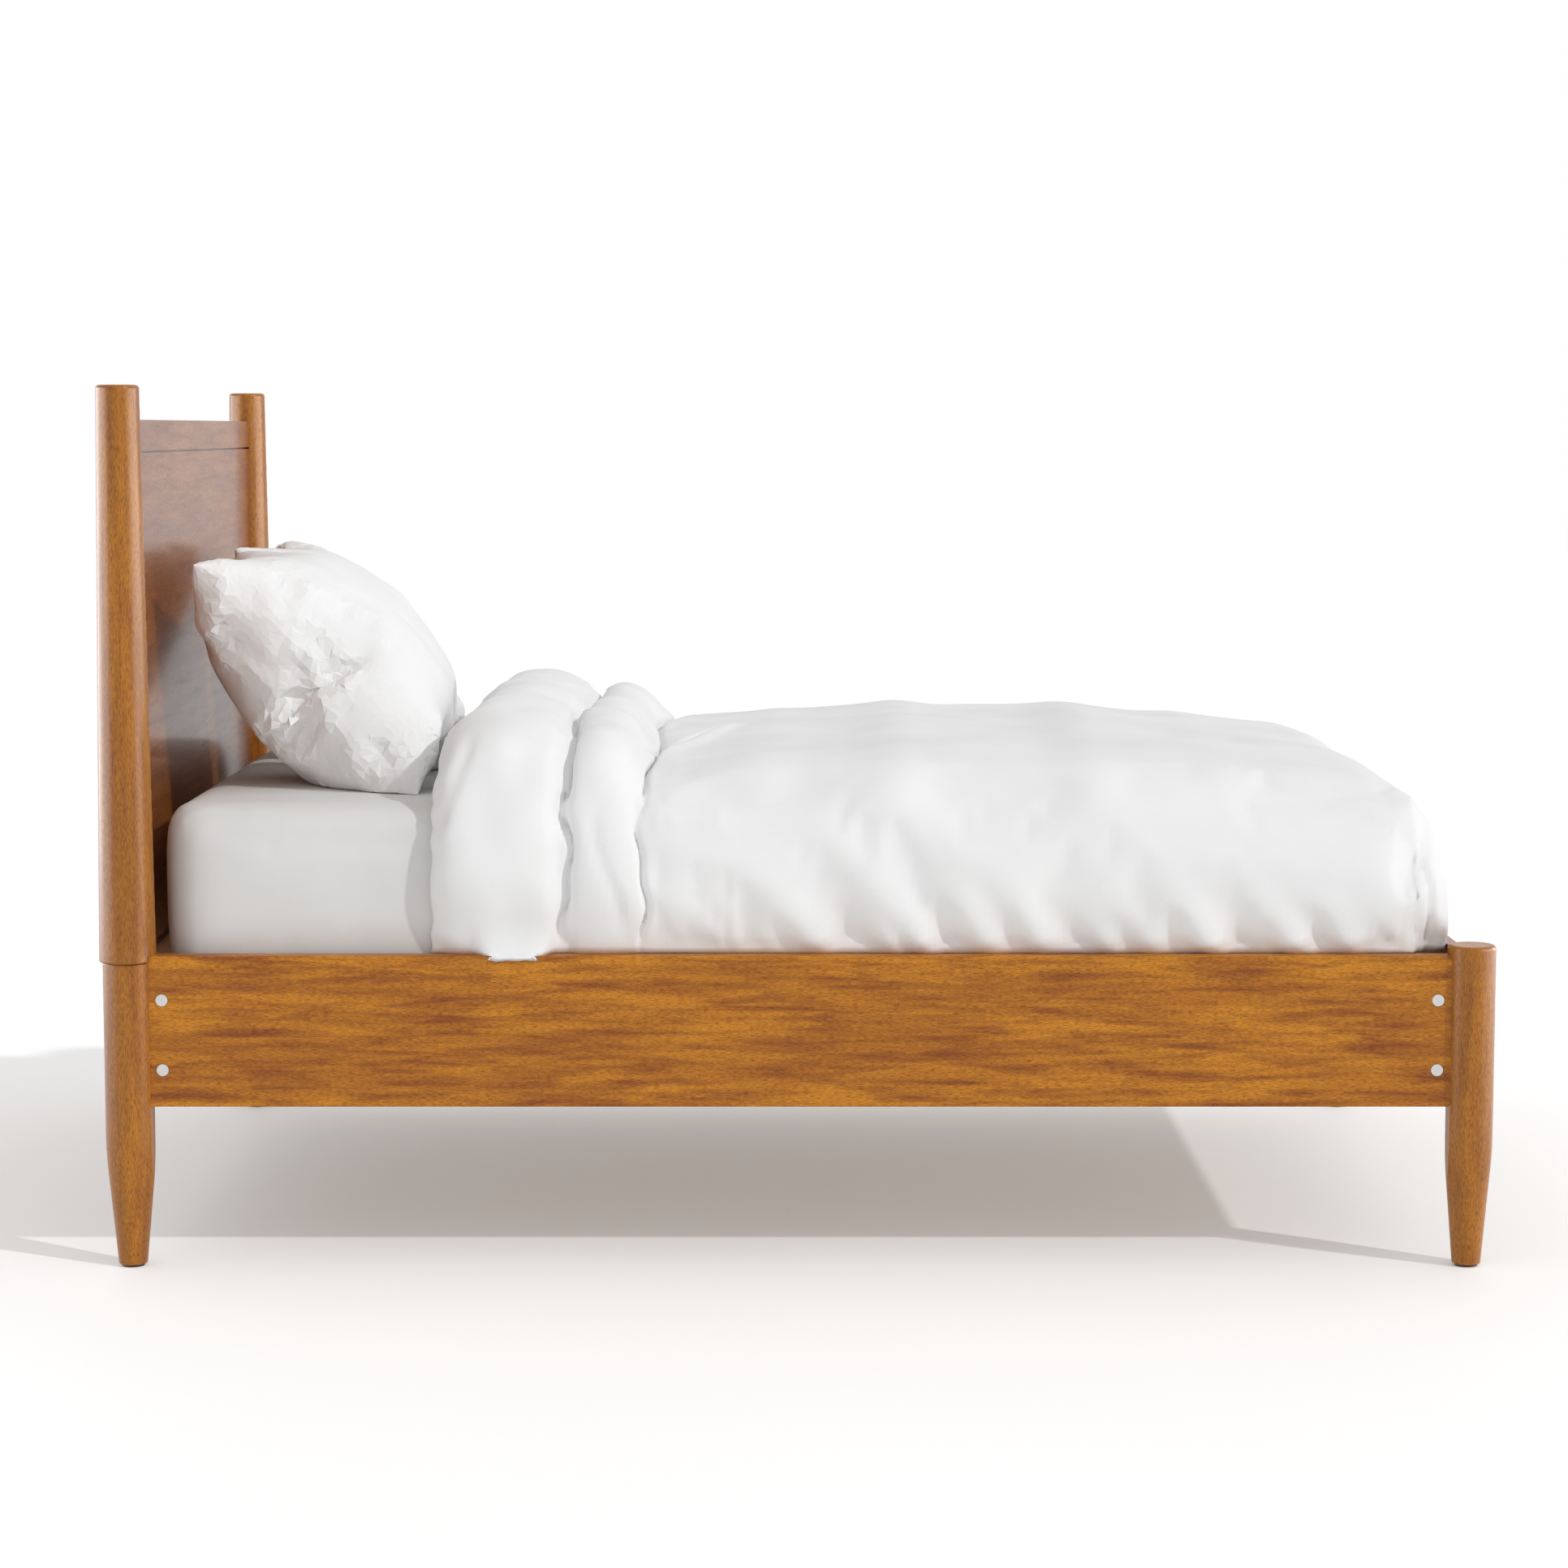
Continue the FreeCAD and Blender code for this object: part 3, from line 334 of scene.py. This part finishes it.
# Pillows: a flat case blown up, so that the seam gathers and the corners stand out
pillowLook = {
    "length": 0.645, "width": 0.6, "pitch": 0.0115, "edge": 0.006, "jitter": 0.003,
    "pressure": 14.0, "frames": 44, "cap": 1.0, "stiff": 12.0, "bend": 0.03, "slack": -0.03,
    "long": 0.515, "wide": 0.46, "fill": 0.85, "slump": 0.14, "bed": 0.0004,
    "crumple": 0.018, "crumpleCell": 0.09, "crumpleReach": 0.12, "crumpleLevel": 0.35,
    "facet": 0.03, "facetCell": 0.075, "facetLevel": 0.45, "innerEnd": 0.3,
    "crumpleFade": 0.45, "crumpleFiner": 2.2, "seamCells": 3,
    "calmCell": 0.13, "calmShare": 0.3, "calmRange": (-0.25, 0.15),
    "quietBelow": 0.35, "quietPasses": 5, "sharpAbove": 0.2,
}
pillowPlaces = {
    "pillow_near": {"seed": 7, "outward": -1, "thick": 0.29, "lean": 46.5, "shift": 0.016, "sink": 0.024},
    "pillow_far": {"seed": 19, "outward": 1, "thick": 0.25, "lean": 48, "shift": 0.002, "sink": 0.008},
}


def flatCase(name, seed):  # two sheets of triangles, sewn along their rim
    look = pillowLook
    chance = np.random.default_rng(seed)
    across = int(round(look["length"] / look["pitch"]))
    wide = int(round(look["width"] / look["pitch"]))
    form = bmesh.new()
    sheets = []
    rimPoints = set()
    for level in (-1, 1):
        rows = []
        for i in range(across + 1):
            row = []
            for j in range(wide + 1):
                rim = min(i, across - i, j, wide - j)
                if level > 0 and rim == 0:
                    row.append(sheets[0][i][j])
                    continue
                nudge = chance.normal(0, look["jitter"], 2) if rim > 0 else (0, 0)
                row.append(form.verts.new((
                    (i / across - 0.5) * look["length"] + nudge[0],
                    (j / wide - 0.5) * look["width"] + nudge[1],
                    0 if rim == 0 else level * look["edge"] * min(1, rim / look["seamCells"]))))
                if rim == 0:
                    rimPoints.add(row[-1])
            rows.append(row)
        sheets.append(rows)
        for i in range(across):
            for j in range(wide):
                corners = [rows[i][j], rows[i + 1][j], rows[i + 1][j + 1], rows[i][j + 1]]
                if level < 0:
                    corners.reverse()
                onRim = sum(c in rimPoints for c in corners)
                if chance.random() < 0.5:
                    corners = corners[1:] + corners[:1]
                if onRim == 3 and (corners[1] in rimPoints) != (corners[3] in rimPoints):
                    corners = corners[1:] + corners[:1]  # a corner cell is cut through its corner
                form.faces.new(corners[:3])
                form.faces.new([corners[0], corners[2], corners[3]])
    mesh = bpy.data.meshes.new(name)
    form.to_mesh(mesh)
    form.free()
    piece = bpy.data.objects.new(name, mesh)
    scene.collection.objects.link(piece)
    return piece


def creaseShare(spots, place):  # how creased each spot is: most near the open end, calm patches between
    look = pillowLook
    outward = spots[:, 1] * place["outward"]
    share = bell(look["wide"] / 2 - outward, look["crumpleReach"])
    share += look["innerEnd"] * bell(look["wide"] / 2 + outward, look["crumpleReach"])
    calm = hills(spots / look["calmCell"] + 3 * place["seed"])
    return share * (look["calmShare"] + (1 - look["calmShare"]) * step(*look["calmRange"], calm))


def drawSmooth(piece, quiet):  # evens out the points marked quiet
    form = bmesh.new()
    form.from_mesh(piece.data)
    chosen = [v for v in form.verts if quiet[v.index]]
    for _ in range(pillowLook["quietPasses"]):
        bmesh.ops.smooth_vert(form, verts=chosen, factor=0.5, use_axis_x=True, use_axis_y=True, use_axis_z=True)
    form.to_mesh(piece.data)
    form.free()


def makePillow(node):
    look, place = pillowLook, pillowPlaces[node]
    piece = flatCase(node + "_soft", place["seed"])
    inflated(piece, look)
    spots = points(piece)
    spots -= (spots.max(0) + spots.min(0)) / 2
    spots *= np.array((look["long"], look["wide"], place["thick"])) / (spots.max(0) - spots.min(0))
    spots[:, 2] *= 1 - look["slump"] * spots[:, 0] / (look["long"] / 2)  # the filling settles low
    movePoints(piece, spots)
    share = creaseShare(spots, place)
    drawSmooth(piece, share < look["quietBelow"])
    spots = points(piece)
    ways = np.empty(len(spots) * 3)
    piece.data.vertices.foreach_get("normal", ways)
    finer = {"amplitude_scale": look["crumpleFade"], "frequency_scale": look["crumpleFiner"]}
    crease = np.array([noise.turbulence(Vector(c), 2, True, **finer)
                       for c in spots / look["crumpleCell"] + place["seed"]])
    cells = spots / look["facetCell"] + place["seed"]
    facet = np.array([noise.voronoi(Vector(c))[0][0] for c in cells])  # sharp folds where two facets meet
    lift = (look["crumpleLevel"] - crease) * look["crumple"] + (facet - look["facetLevel"]) * look["facet"]
    spots += ways.reshape(-1, 3) * (lift * share)[:, None]
    back = math.radians(90 - place["lean"])
    spots = spots @ np.array([[-math.sin(back), 0, math.cos(back)], [0, 1, 0],
                              [math.cos(back), 0, math.sin(back)]])
    low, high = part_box(node)
    spots += (np.array(low) + np.array(high)) / 2 - (spots.max(0) + spots.min(0)) / 2
    spots[:, 0] += place["shift"]
    spots[:, 2] += low.z - spots[:, 2].min() - place["sink"]
    spots[:, 2] = np.maximum(spots[:, 2], low.z + look["bed"])  # pressed flat where it lies
    movePoints(piece, spots)
    dress(piece, node, beddingCotton)
    for face in piece.data.polygons:  # pressed creases stay sharp
        face.use_smooth = bool(min(share[k] for k in face.vertices) < look["sharpAbove"])
    print(node, "made:", len(piece.data.polygons), "faces")


for node in pillowPlaces:
    makePillow(node)


# Duvet: two turned-back rolls, a full smooth body, gathers along its lower edge
duvetLook = {
    "crown": 0.1, "wall": 0.03, "sideBulge": 0.021, "inset": 0.12, "hipShare": 0.62, "crestShare": 0.945,
    "around": 170, "rollPitch": 0.0085, "creasePitch": 0.0028, "pleatPitch": 0.0045, "bodyPitch": 0.0092,
    "creaseReach": 0.03, "pleatReach": 0.14, "turnReach": 0.07, "turnRows": 20, "endRows": 11,
    "thinnest": 0.008, "clear": 0.0015, "lift": 0.0004, "hem": 0.002, "lip": 0.012, "endSwell": 0.004,
    "pressure": 1.2, "frames": 14, "cap": 0.009, "stiff": 15.0, "bend": 3.0, "slack": -0.007, "fill": 0.6,
    "rollEdges": (-0.3535, -0.2246), "rollDepthSide": 0.02, "rollDepthTop": 0.038, "rollWidth": 0.0036,
    "rollRound": 0.013, "swell": 0.006, "swellCells": (6, 6, 6), "crinkle": 0.006, "crinkleCells": (16, 11, 9),
    "pucker": 0.003, "puckerReach": 0.02, "rollTopShares": (1, 0.75), "rollsEnd": (-0.01, 0.02),
    "wallEnd": (-0.08, 0.05), "rimShare": 0.5, "footShare": 0.96, "arc": (0.293, 0.707), "brow": (2.6, 0.68),
}
stationShares = (0, 0.008, 0.022, 0.05, 0.085, 0.108, 0.121, 0.134, 0.153, 0.178, 0.197, 0.211,
                 0.235, 0.28, 0.34, 0.4, 0.5, 0.6, 0.7, 0.793, 0.882, 0.934, 0.971, 0.989, 1)
crownShares = (1, 1.12, 1.25, 1.36, 1.28, 1.15, 1.08, 1.13, 1.14, 0.95, 0.62, 0.53,
               0.51, 0.54, 0.59, 0.65, 0.72, 0.68, 0.7, 0.56, 0.43, 0.28, -0.02, -0.36, -0.95)
wallShares = (0.7, 1, 1.2, 1.3, 1.33, 1.2, 0.9, 1.1, 1.2, 1.2, 1.05, 0.85,
              0.82, 0.85, 0.9, 0.95, 1, 1, 1, 0.97, 0.95, 0.8, 0.4, 0.1, -0.3)
# gathers: place along the hem, height they reach, strength, width, all in metres
gathers = ((-0.08, 0.07, 0.004, 0.016), (-0.03, 0.06, 0.004, 0.012), (0.045, 0.17, 0.012, 0.026),
           (0.151, 0.12, 0.009, 0.014), (0.197, 0.25, 0.013, 0.024), (0.291, 0.1, 0.007, 0.016),
           (0.314, 0.2, 0.008, 0.02), (0.368, 0.14, 0.008, 0.018), (0.398, 0.22, 0.009, 0.024),
           (0.476, 0.13, 0.01, 0.02), (0.54, 0.17, 0.01, 0.024), (0.634, 0.18, 0.013, 0.026),
           (0.70, 0.08, 0.006, 0.012), (0.752, 0.22, 0.013, 0.028), (0.774, 0.07, 0.006, 0.01),
           (0.837, 0.2, 0.011, 0.022), (0.88, 0.07, 0.006, 0.012), (0.923, 0.09, 0.009, 0.016))
gatherLook = {"slant": 0.78, "curve": 0.4, "fade": 1.2, "widen": 1.6, "height": 1.15, "valley": 0.65,
              "valleyStep": 1.7, "farShift": 0.037}
sways = ((2, 0.005, 33, 2.1), (2, 0.003, 71, 1), (1, 0.006, 8, 3))  # axis, size, pace, shift per roll
swells = ((-0.045, 0.004), (0.163, 0.006), (0.46, 0.006), (0.66, 0.004))  # place along the bed, height
swellLook = {"skew": 0.03, "width": 0.05}
pleatLook = {"x": -0.2156, "y": -0.26, "way": (0.964, 0.265), "depth": 0.014, "width": 0.008,
             "ridge": 0.008, "ridgeStep": 0.022, "ridgeWidth": 0.016,
             "begins": (-0.38, -0.27), "ends": (0.0, 0.14)}
seamLook = {"x": 0.9495, "curve": 2.5, "straightTo": 0.54, "depth": 0.007, "width": 0.004, "ends": (0.6, 0.64)}
# folds on the near wall of the rolls, one upright and one slanting: place, waver, lean, width, heights
wallFolds = ((-0.285, 0.02, 0.0, 0.008, (0.5, 0.55), (0.66, 0.72)),
             (-0.49, 0.0, 0.33, 0.009, (0.62, 0.7), (0.77, 0.82)))
wallFoldLook = {"depth": 0.005, "pace": 21, "level": 0.8}
droopLook = {"x": -0.426, "half": 0.052, "reach": 0.06, "over": 0.0035, "hemOver": 0.0006, "drop": 0.009,
             "steady": 0.86, "ragged": 0.14, "paces": (150, 67)}


def smoothTable(places, heights, wanted):  # smooth curve through a table
    places, heights = np.array(places, float), np.array(heights, float)
    slopes = np.gradient(heights, places)
    slot = np.clip(np.searchsorted(places, wanted) - 1, 0, len(places) - 2)
    gap = places[slot + 1] - places[slot]
    share = np.clip((wanted - places[slot]) / gap, 0, 1)
    s2, s3 = share ** 2, share ** 3
    return ((2 * s3 - 3 * s2 + 1) * heights[slot] + (s3 - 2 * s2 + share) * gap * slopes[slot]
            + (3 * s2 - 2 * s3) * heights[slot + 1] + (s3 - s2) * gap * slopes[slot + 1])


def evenly(line, count):  # the same line with its points at even steps
    steps = np.concatenate([[0], np.cumsum(np.linalg.norm(np.diff(line, axis=0), axis=1))])
    wanted = np.linspace(0, steps[-1], count)
    return np.stack([np.interp(wanted, steps, line[:, k]) for k in (0, 1)], axis=1)


def outerLine(crest, out, low, count):  # near hem over the top to the far hem, as y and z
    shoulder = low + duvetLook["hipShare"] * (crest - low)
    rise = low + duvetLook["crestShare"] * (crest - low)
    inset, bulge, arc, brow = (duvetLook[key] for key in ("inset", "sideBulge", "arc", "brow"))
    half = np.array([(out - bulge, low), (out + bulge / 2, (low + shoulder) / 2), (out, shoulder),
                     (out - arc[0] * inset, shoulder + arc[1] * (rise - shoulder)), (out - inset, rise),
                     (out - brow[0] * inset, rise + brow[1] * (crest - rise)), (0, crest)])
    line = np.concatenate([half * (-1, 1), (half[:-1])[::-1]])
    marks = np.concatenate([[0], np.cumsum(np.sqrt(np.linalg.norm(np.diff(line, axis=0), axis=1)))])
    fine = np.linspace(0, marks[-1], 400)
    return evenly(np.stack([smoothTable(marks, line[:, k], fine) for k in (0, 1)], axis=1), count)


mattressRounds = {"corner": 0.065, "rim": 0.042, "most": 0.98, "bends": 12}  # radii as in the solid


def innerLine(x, box, low, count):  # round the mattress, a little clear of it
    right, back, top = box[1]
    corner, rim = mattressRounds["corner"], mattressRounds["rim"]
    past = np.clip(x - (right - corner), 0, corner * mattressRounds["most"])
    narrow = corner - math.sqrt(corner ** 2 - past ** 2)
    past = np.clip(x - (right - rim), 0, rim * mattressRounds["most"])
    drop = rim - math.sqrt(rim ** 2 - past ** 2)
    wide = back - narrow + duvetLook["clear"]
    roof = top - drop + duvetLook["lift"]
    bend = np.linspace(0, math.pi / 2, mattressRounds["bends"])
    half = [(-wide, low)] + [(-wide + rim - rim * math.cos(a), roof - rim + rim * math.sin(a)) for a in bend]
    half = np.array(half)
    return evenly(np.concatenate([half, half[::-1] * (-1, 1)]), count)


def evenRows(first, last, pitch):
    return np.linspace(first, last, max(2, round((last - first) / pitch)), endpoint=False)


def duvetRows(start, end, edge):  # places along the bed, closest where the cloth is creased
    look = duvetLook
    one, two = look["rollEdges"]
    reach, pleatEnd, turn = look["creaseReach"], two + look["pleatReach"], edge - look["turnReach"]
    return np.concatenate([evenRows(start, one - reach, look["rollPitch"]),
                           evenRows(one - reach, one + reach, look["creasePitch"]),
                           evenRows(one + reach, two - reach, look["rollPitch"]),
                           evenRows(two - reach, two + reach, look["creasePitch"]),
                           evenRows(two + reach, pleatEnd, look["pleatPitch"]),
                           evenRows(pleatEnd, turn, look["bodyPitch"]),
                           np.linspace(turn, edge, look["turnRows"]),
                           np.linspace(edge, end, look["endRows"])])


def outwardWays(grid):  # outward way of each point, from its neighbours
    ways = np.cross(np.gradient(grid, axis=0), np.gradient(grid, axis=1))
    ways /= np.maximum(np.linalg.norm(ways, axis=2, keepdims=True), 1e-9)
    middle = ways[grid.shape[0] // 2, grid.shape[1] // 2]
    return -ways if middle[2] < 0 else ways


def duvetFolds(grid, low, top):  # how far each point stands out of the plain form
    look = duvetLook
    x, y, z = grid[..., 0], grid[..., 1], grid[..., 2]
    near = y < 0
    side = 1 - step(top + look["wallEnd"][0], top + look["wallEnd"][1], z)
    rise = z - low
    push = np.zeros_like(x)
    for number, edge in enumerate(look["rollEdges"]):  # creases between the rolls and the body
        sway = sum(size * np.sin(grid[..., axis] * pace + shift * number) for axis, size, pace, shift in sways)
        depth = look["rollDepthSide"] * side + look["rollDepthTop"] * (1 - side) * look["rollTopShares"][number]
        off = np.abs(x - edge - sway)
        push -= depth * (0.5 * bell(off, look["rollWidth"]) + 0.5 * np.exp(-off / look["rollRound"]))
    for place, reach, strength, width in gathers:  # slanting folds that rise from the hem
        for wall, shift in ((near, 0), (~near, gatherLook["farShift"])):
            line = x + gatherLook["slant"] * rise + gatherLook["curve"] * rise ** 2 - place - shift
            fade = np.clip(1 - rise / reach, 0, 1) ** gatherLook["fade"] * wall
            spread = width * (1 + gatherLook["widen"] * rise / reach)
            valley = gatherLook["valley"] * bell(line - gatherLook["valleyStep"] * spread, spread)
            push += gatherLook["height"] * strength * fade * (bell(line, spread) - valley)
    for place, strength in swells:  # low swells across the top
        push += strength * (1 - side) * bell(x - place - swellLook["skew"] * y, swellLook["width"])
    pleat = pleatLook  # across the top beside the second roll
    fold = (x - pleat["x"]) * pleat["way"][0] - (y - pleat["y"]) * pleat["way"][1]
    reach = step(*pleat["begins"], y) * (1 - step(*pleat["ends"], y)) * (1 - side)
    push -= pleat["depth"] * reach * bell(fold, pleat["width"])
    push += pleat["ridge"] * reach * bell(fold - pleat["ridgeStep"], pleat["ridgeWidth"])
    seam = x - seamLook["x"] + seamLook["curve"] * np.maximum(z - seamLook["straightTo"], 0) ** 2
    push -= seamLook["depth"] * bell(seam, seamLook["width"]) * (1 - step(*seamLook["ends"], z))
    for place, waver, lean, width, begins, ends in wallFolds:
        line = x - place + waver * np.sin(z * wallFoldLook["pace"]) - lean * (z - wallFoldLook["level"])
        push -= wallFoldLook["depth"] * bell(line, width) * step(*begins, z) * (1 - step(*ends, z)) * near
    places = grid.reshape(-1, 3)
    push += look["swell"] * hills(places * look["swellCells"]).reshape(x.shape)
    last = look["rollEdges"][1]
    rolls = 1 - step(last + look["rollsEnd"][0], last + look["rollsEnd"][1], x)
    push += look["crinkle"] * hills(places * look["crinkleCells"]).reshape(x.shape) * rolls
    for rim in (slice(0, 2), slice(-2, None)):
        push[:, rim] *= look["rimShare"]
    return push


def makeDuvet():
    look = duvetLook
    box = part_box("mattress")
    low, start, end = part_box("duvet")[0].z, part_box("duvet")[0].x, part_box("duvet")[1].x
    top = box[1].z
    rows = duvetRows(start, end, box[1].x + look["clear"])
    shares = (rows - start) / (end - start)
    crests = top + look["crown"] * smoothTable(stationShares, crownShares, shares)
    outs = box[1].y + look["wall"] * smoothTable(stationShares, wallShares, shares)
    count = look["around"]
    lastInside = len(rows) - look["endRows"] - 1
    outer = np.zeros((len(rows), count, 3))
    inner = np.zeros((len(rows), count, 3))
    for i, x in enumerate(rows):
        outer[i, :, 0] = inner[i, :, 0] = x
        outer[i, :, 1:] = outerLine(crests[i], outs[i], low, count)
        if i <= lastInside:
            inner[i, :, 1:] = innerLine(x, box, low, count)
        else:
            inner[i, :, 1] = np.linspace(outer[i, 0, 1], outer[i, -1, 1], count) * look["footShare"]
            inner[i, :, 2] = low
    ways = outwardWays(outer)
    outer = outer + ways * duvetFolds(outer, low, top)[..., None]
    turn = np.arange(count)
    pucker = np.sin(0.22 * turn * 5 + 2 * np.sin(0.31 * turn))  # the seam draws the edge in
    outer[..., 0] += look["pucker"] * pucker * np.exp(-(rows - start) / look["puckerReach"])[:, None]

    # never thinner than the least filling, and never below the hem line
    spare = np.maximum(np.abs(outer[..., 1]) - (box[1].y + look["clear"]), outer[..., 2] - top)
    spare = np.maximum(spare, outer[..., 0] - box[1].x)
    short = np.maximum(look["thinnest"] - spare, 0)
    outer += ways * short[..., None]
    outer[..., 2] = np.maximum(outer[..., 2], low)
    outer[:, 0, 2] = outer[:, -1, 2] = low

    hems = []
    for edge, way in ((0, 1), (-1, -1)):
        hem = outer[:, edge].copy()
        hem[:, 1] += way * look["hem"]
        hems.append(hem)
    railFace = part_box("side_rail_near")[0].y  # the first roll's hem hangs over the rail
    droop = np.exp(-((rows - droopLook["x"]) / droopLook["half"]) ** 6)[:, None]
    ripple, beat = (np.sin(rows * pace)[:, None] for pace in droopLook["paces"])
    ragged = droopLook["steady"] + droopLook["ragged"] * ripple * beat
    height = (outer[..., 2] - low) / droopLook["reach"]
    lowness = droop * np.clip(1 - height, 0, 1) ** 2 * (outer[..., 1] < 0)
    face = np.minimum(outer[..., 1], railFace - droopLook["over"])
    outer[..., 1] = outer[..., 1] * (1 - lowness) + face * lowness
    outer[..., 2] -= droopLook["drop"] * lowness * ragged
    hems[0][:, 1] = hems[0][:, 1] * (1 - droop[:, 0]) + (railFace - droopLook["hemOver"]) * droop[:, 0]

    def between(row, parts, swell):  # rows that close a rim from the outer to the inner skin
        gap = inner[row] - outer[row]
        return np.array([outer[row] + gap * k / parts + np.array([swell * math.sin(math.pi * k / parts), 0, 0])
                         for k in range(1, parts)])

    spots, faces, ids = [], [], {}

    def number(tag, grid):
        ids[tag] = np.arange(len(grid.reshape(-1, 3))).reshape(grid.shape[:-1]) + sum(len(s) for s in spots)
        spots.append(grid.reshape(-1, 3))

    def strip(rowsOfIds):
        for first, second in zip(rowsOfIds[:-1], rowsOfIds[1:]):
            faces.extend(zip(first[:-1], first[1:], second[1:], second[:-1]))

    number("outer", outer)
    number("inner", inner)
    number("hemNear", hems[0])
    number("hemFar", hems[1])
    number("lip", between(0, 4, -look["lip"]))
    number("end", between(-1, 6, look["endSwell"]))
    strip(ids["outer"])
    strip(ids["inner"][:, ::-1])
    strip([ids["inner"][:, 0], ids["hemNear"], ids["outer"][:, 0]])
    strip([ids["outer"][:, -1], ids["hemFar"], ids["inner"][:, -1]])
    strip([ids["inner"][0], *ids["lip"][::-1], ids["outer"][0]])
    strip([ids["outer"][-1], *ids["end"], ids["inner"][-1]])
    # the small sides of the lip and of the foot end close against the hem
    for row, caps in ((0, ids["lip"]), (-1, ids["end"])):
        for edge, hem in ((0, ids["hemNear"]), (-1, ids["hemFar"])):
            faces.append((ids["outer"][row, edge], *[c[edge] for c in caps], ids["inner"][row, edge], hem[row]))
    mesh = bpy.data.meshes.new("duvet_soft")
    mesh.from_pydata(np.concatenate(spots).tolist(), [], [tuple(int(k) for k in f) for f in faces])
    form = bmesh.new()
    form.from_mesh(mesh)
    bmesh.ops.recalc_face_normals(form, faces=form.faces)
    form.to_mesh(mesh)
    form.free()
    piece = bpy.data.objects.new("duvet_soft", mesh)
    scene.collection.objects.link(piece)
    held = piece.vertex_groups.new(name="held")
    fixed = [ids["inner"].ravel(), ids["hemNear"], ids["hemFar"], ids["outer"][:, :2].ravel(),
             ids["outer"][:, -2:].ravel(), ids["end"].ravel(), ids["outer"][-1]]
    held.add([int(k) for k in np.concatenate(fixed)], 1.0, "REPLACE")
    inflated(piece, look, "held")
    piece.vertex_groups.clear()
    dress(piece, "duvet", beddingCotton)
    print("duvet made:", len(mesh.polygons), "faces")


makeDuvet()


def viewed(tree):  # 1 for what the camera, a gloss or a glass sees, 0 for the light itself
    rays = [put(tree, "ShaderNodeLightPath", output=ray)
            for ray in ("Is Camera Ray", "Is Glossy Ray", "Is Transmission Ray")]
    mirrored = put(tree, "ShaderNodeMath", {"operation": "MAXIMUM"}, {0: rays[0], 1: rays[1]})
    return put(tree, "ShaderNodeMath", {"operation": "MAXIMUM"}, {0: mirrored, 1: rays[2]})


# Floor: plain, pale, matt, wide enough for every view
floorLook = {"half": 30, "lift": 0.19}
floorCorners = [(a * floorLook["half"], b * floorLook["half"], 0)
                for a, b in ((-1, -1), (1, -1), (1, 1), (-1, 1))]
floorMesh = bpy.data.meshes.new("studioFloor")
floorMesh.from_pydata(floorCorners, [], [(0, 1, 2, 3)])
floor = bpy.data.objects.new("studioFloor", floorMesh)
scene.collection.objects.link(floor)
floorPaint, tree = blankMaterial("paintedStudioFloor")
seat = put(tree, "ShaderNodeTexCoord", output="Object")
cloud = patterns(tree, seat, {"cloud": ((900, 900, 900), 2, 0.5, 0.0)})["cloud"]
floorTone = put(tree, "ShaderNodeValToRGB", {"stops": [(0.3, "#FBFBFB"), (0.7, "#FDFDFD")]}, {"Fac": cloud})
lift = put(tree, "ShaderNodeMath", {"operation": "MULTIPLY", 1: floorLook["lift"]}, {0: viewed(tree)})
shader = put(tree, "ShaderNodeBsdfPrincipled",
             {"Roughness": 0.7, "Specular IOR Level": 0.2, "Emission Color": (1, 1, 1, 1)},
             {"Base Color": floorTone, "Emission Strength": lift})
put(tree, "ShaderNodeOutputMaterial", {}, {"Surface": shader})
floorMesh.materials.append(floorPaint)

# Light: one low sun from the right and the front, white sky all round, a soft box at each end
lightLook = {"sun": 1.2, "spread": 2.0, "toSun": (1.26, -0.81, 1.0), "sky": 0.63,
             "box": 330, "boxSize": (6.4, 2.6), "boxPlace": (4.6, -0.4, 1.1)}
sun = bpy.data.objects.new("studioSun", bpy.data.lights.new("studioSun", "SUN"))
sun.data.energy = lightLook["sun"]
sun.data.angle = math.radians(lightLook["spread"])
sun.rotation_euler = Vector(lightLook["toSun"]).to_track_quat("Z", "Y").to_euler()
scene.collection.objects.link(sun)
for side in (-1, 1):  # the soft boxes give gloss alone, mostly on the round wood
    softBox = bpy.data.objects.new("softBox", bpy.data.lights.new("softBox", "AREA"))
    softBox.data.shape = "RECTANGLE"
    softBox.data.size, softBox.data.size_y = lightLook["boxSize"]
    softBox.data.energy = lightLook["box"]
    softBox.visible_diffuse = False
    softBox.visible_camera = False
    softBox.location = (side * lightLook["boxPlace"][0], *lightLook["boxPlace"][1:])
    softBox.rotation_euler = Vector((side, 0.1, 0.05)).to_track_quat("Z", "Y").to_euler()
    scene.collection.objects.link(softBox)
world = bpy.data.worlds.new("whiteSky")
scene.world = world
world.use_nodes = True
tree = world.node_tree
tree.nodes.clear()
strength = put(tree, "ShaderNodeMapRange", {"To Min": lightLook["sky"], "To Max": 1.0}, {"Value": viewed(tree)})
sky = put(tree, "ShaderNodeBackground", {"Color": (1, 1, 1, 1)}, {"Strength": strength})
put(tree, "ShaderNodeOutputWorld", {}, {"Surface": sky})
scene.view_settings.view_transform = "Standard"

# Camera: square to the near side, far off, about as high as the headboard's top, looking slightly down
cameraLook = {"place": (-0.0205, -5.8555, 1.2584), "pitch": 5.761, "lens": 80.77, "sensor": 36, "reach": 200}
camera = bpy.data.objects.new("camera", bpy.data.cameras.new("camera"))
camera.location = cameraLook["place"]
camera.rotation_euler = (math.radians(90 - cameraLook["pitch"]), 0, 0)
camera.data.lens = cameraLook["lens"]
camera.data.sensor_width = cameraLook["sensor"]
camera.data.clip_end = cameraLook["reach"]
scene.collection.objects.link(camera)
scene.camera = camera
print("floor, light and camera set")
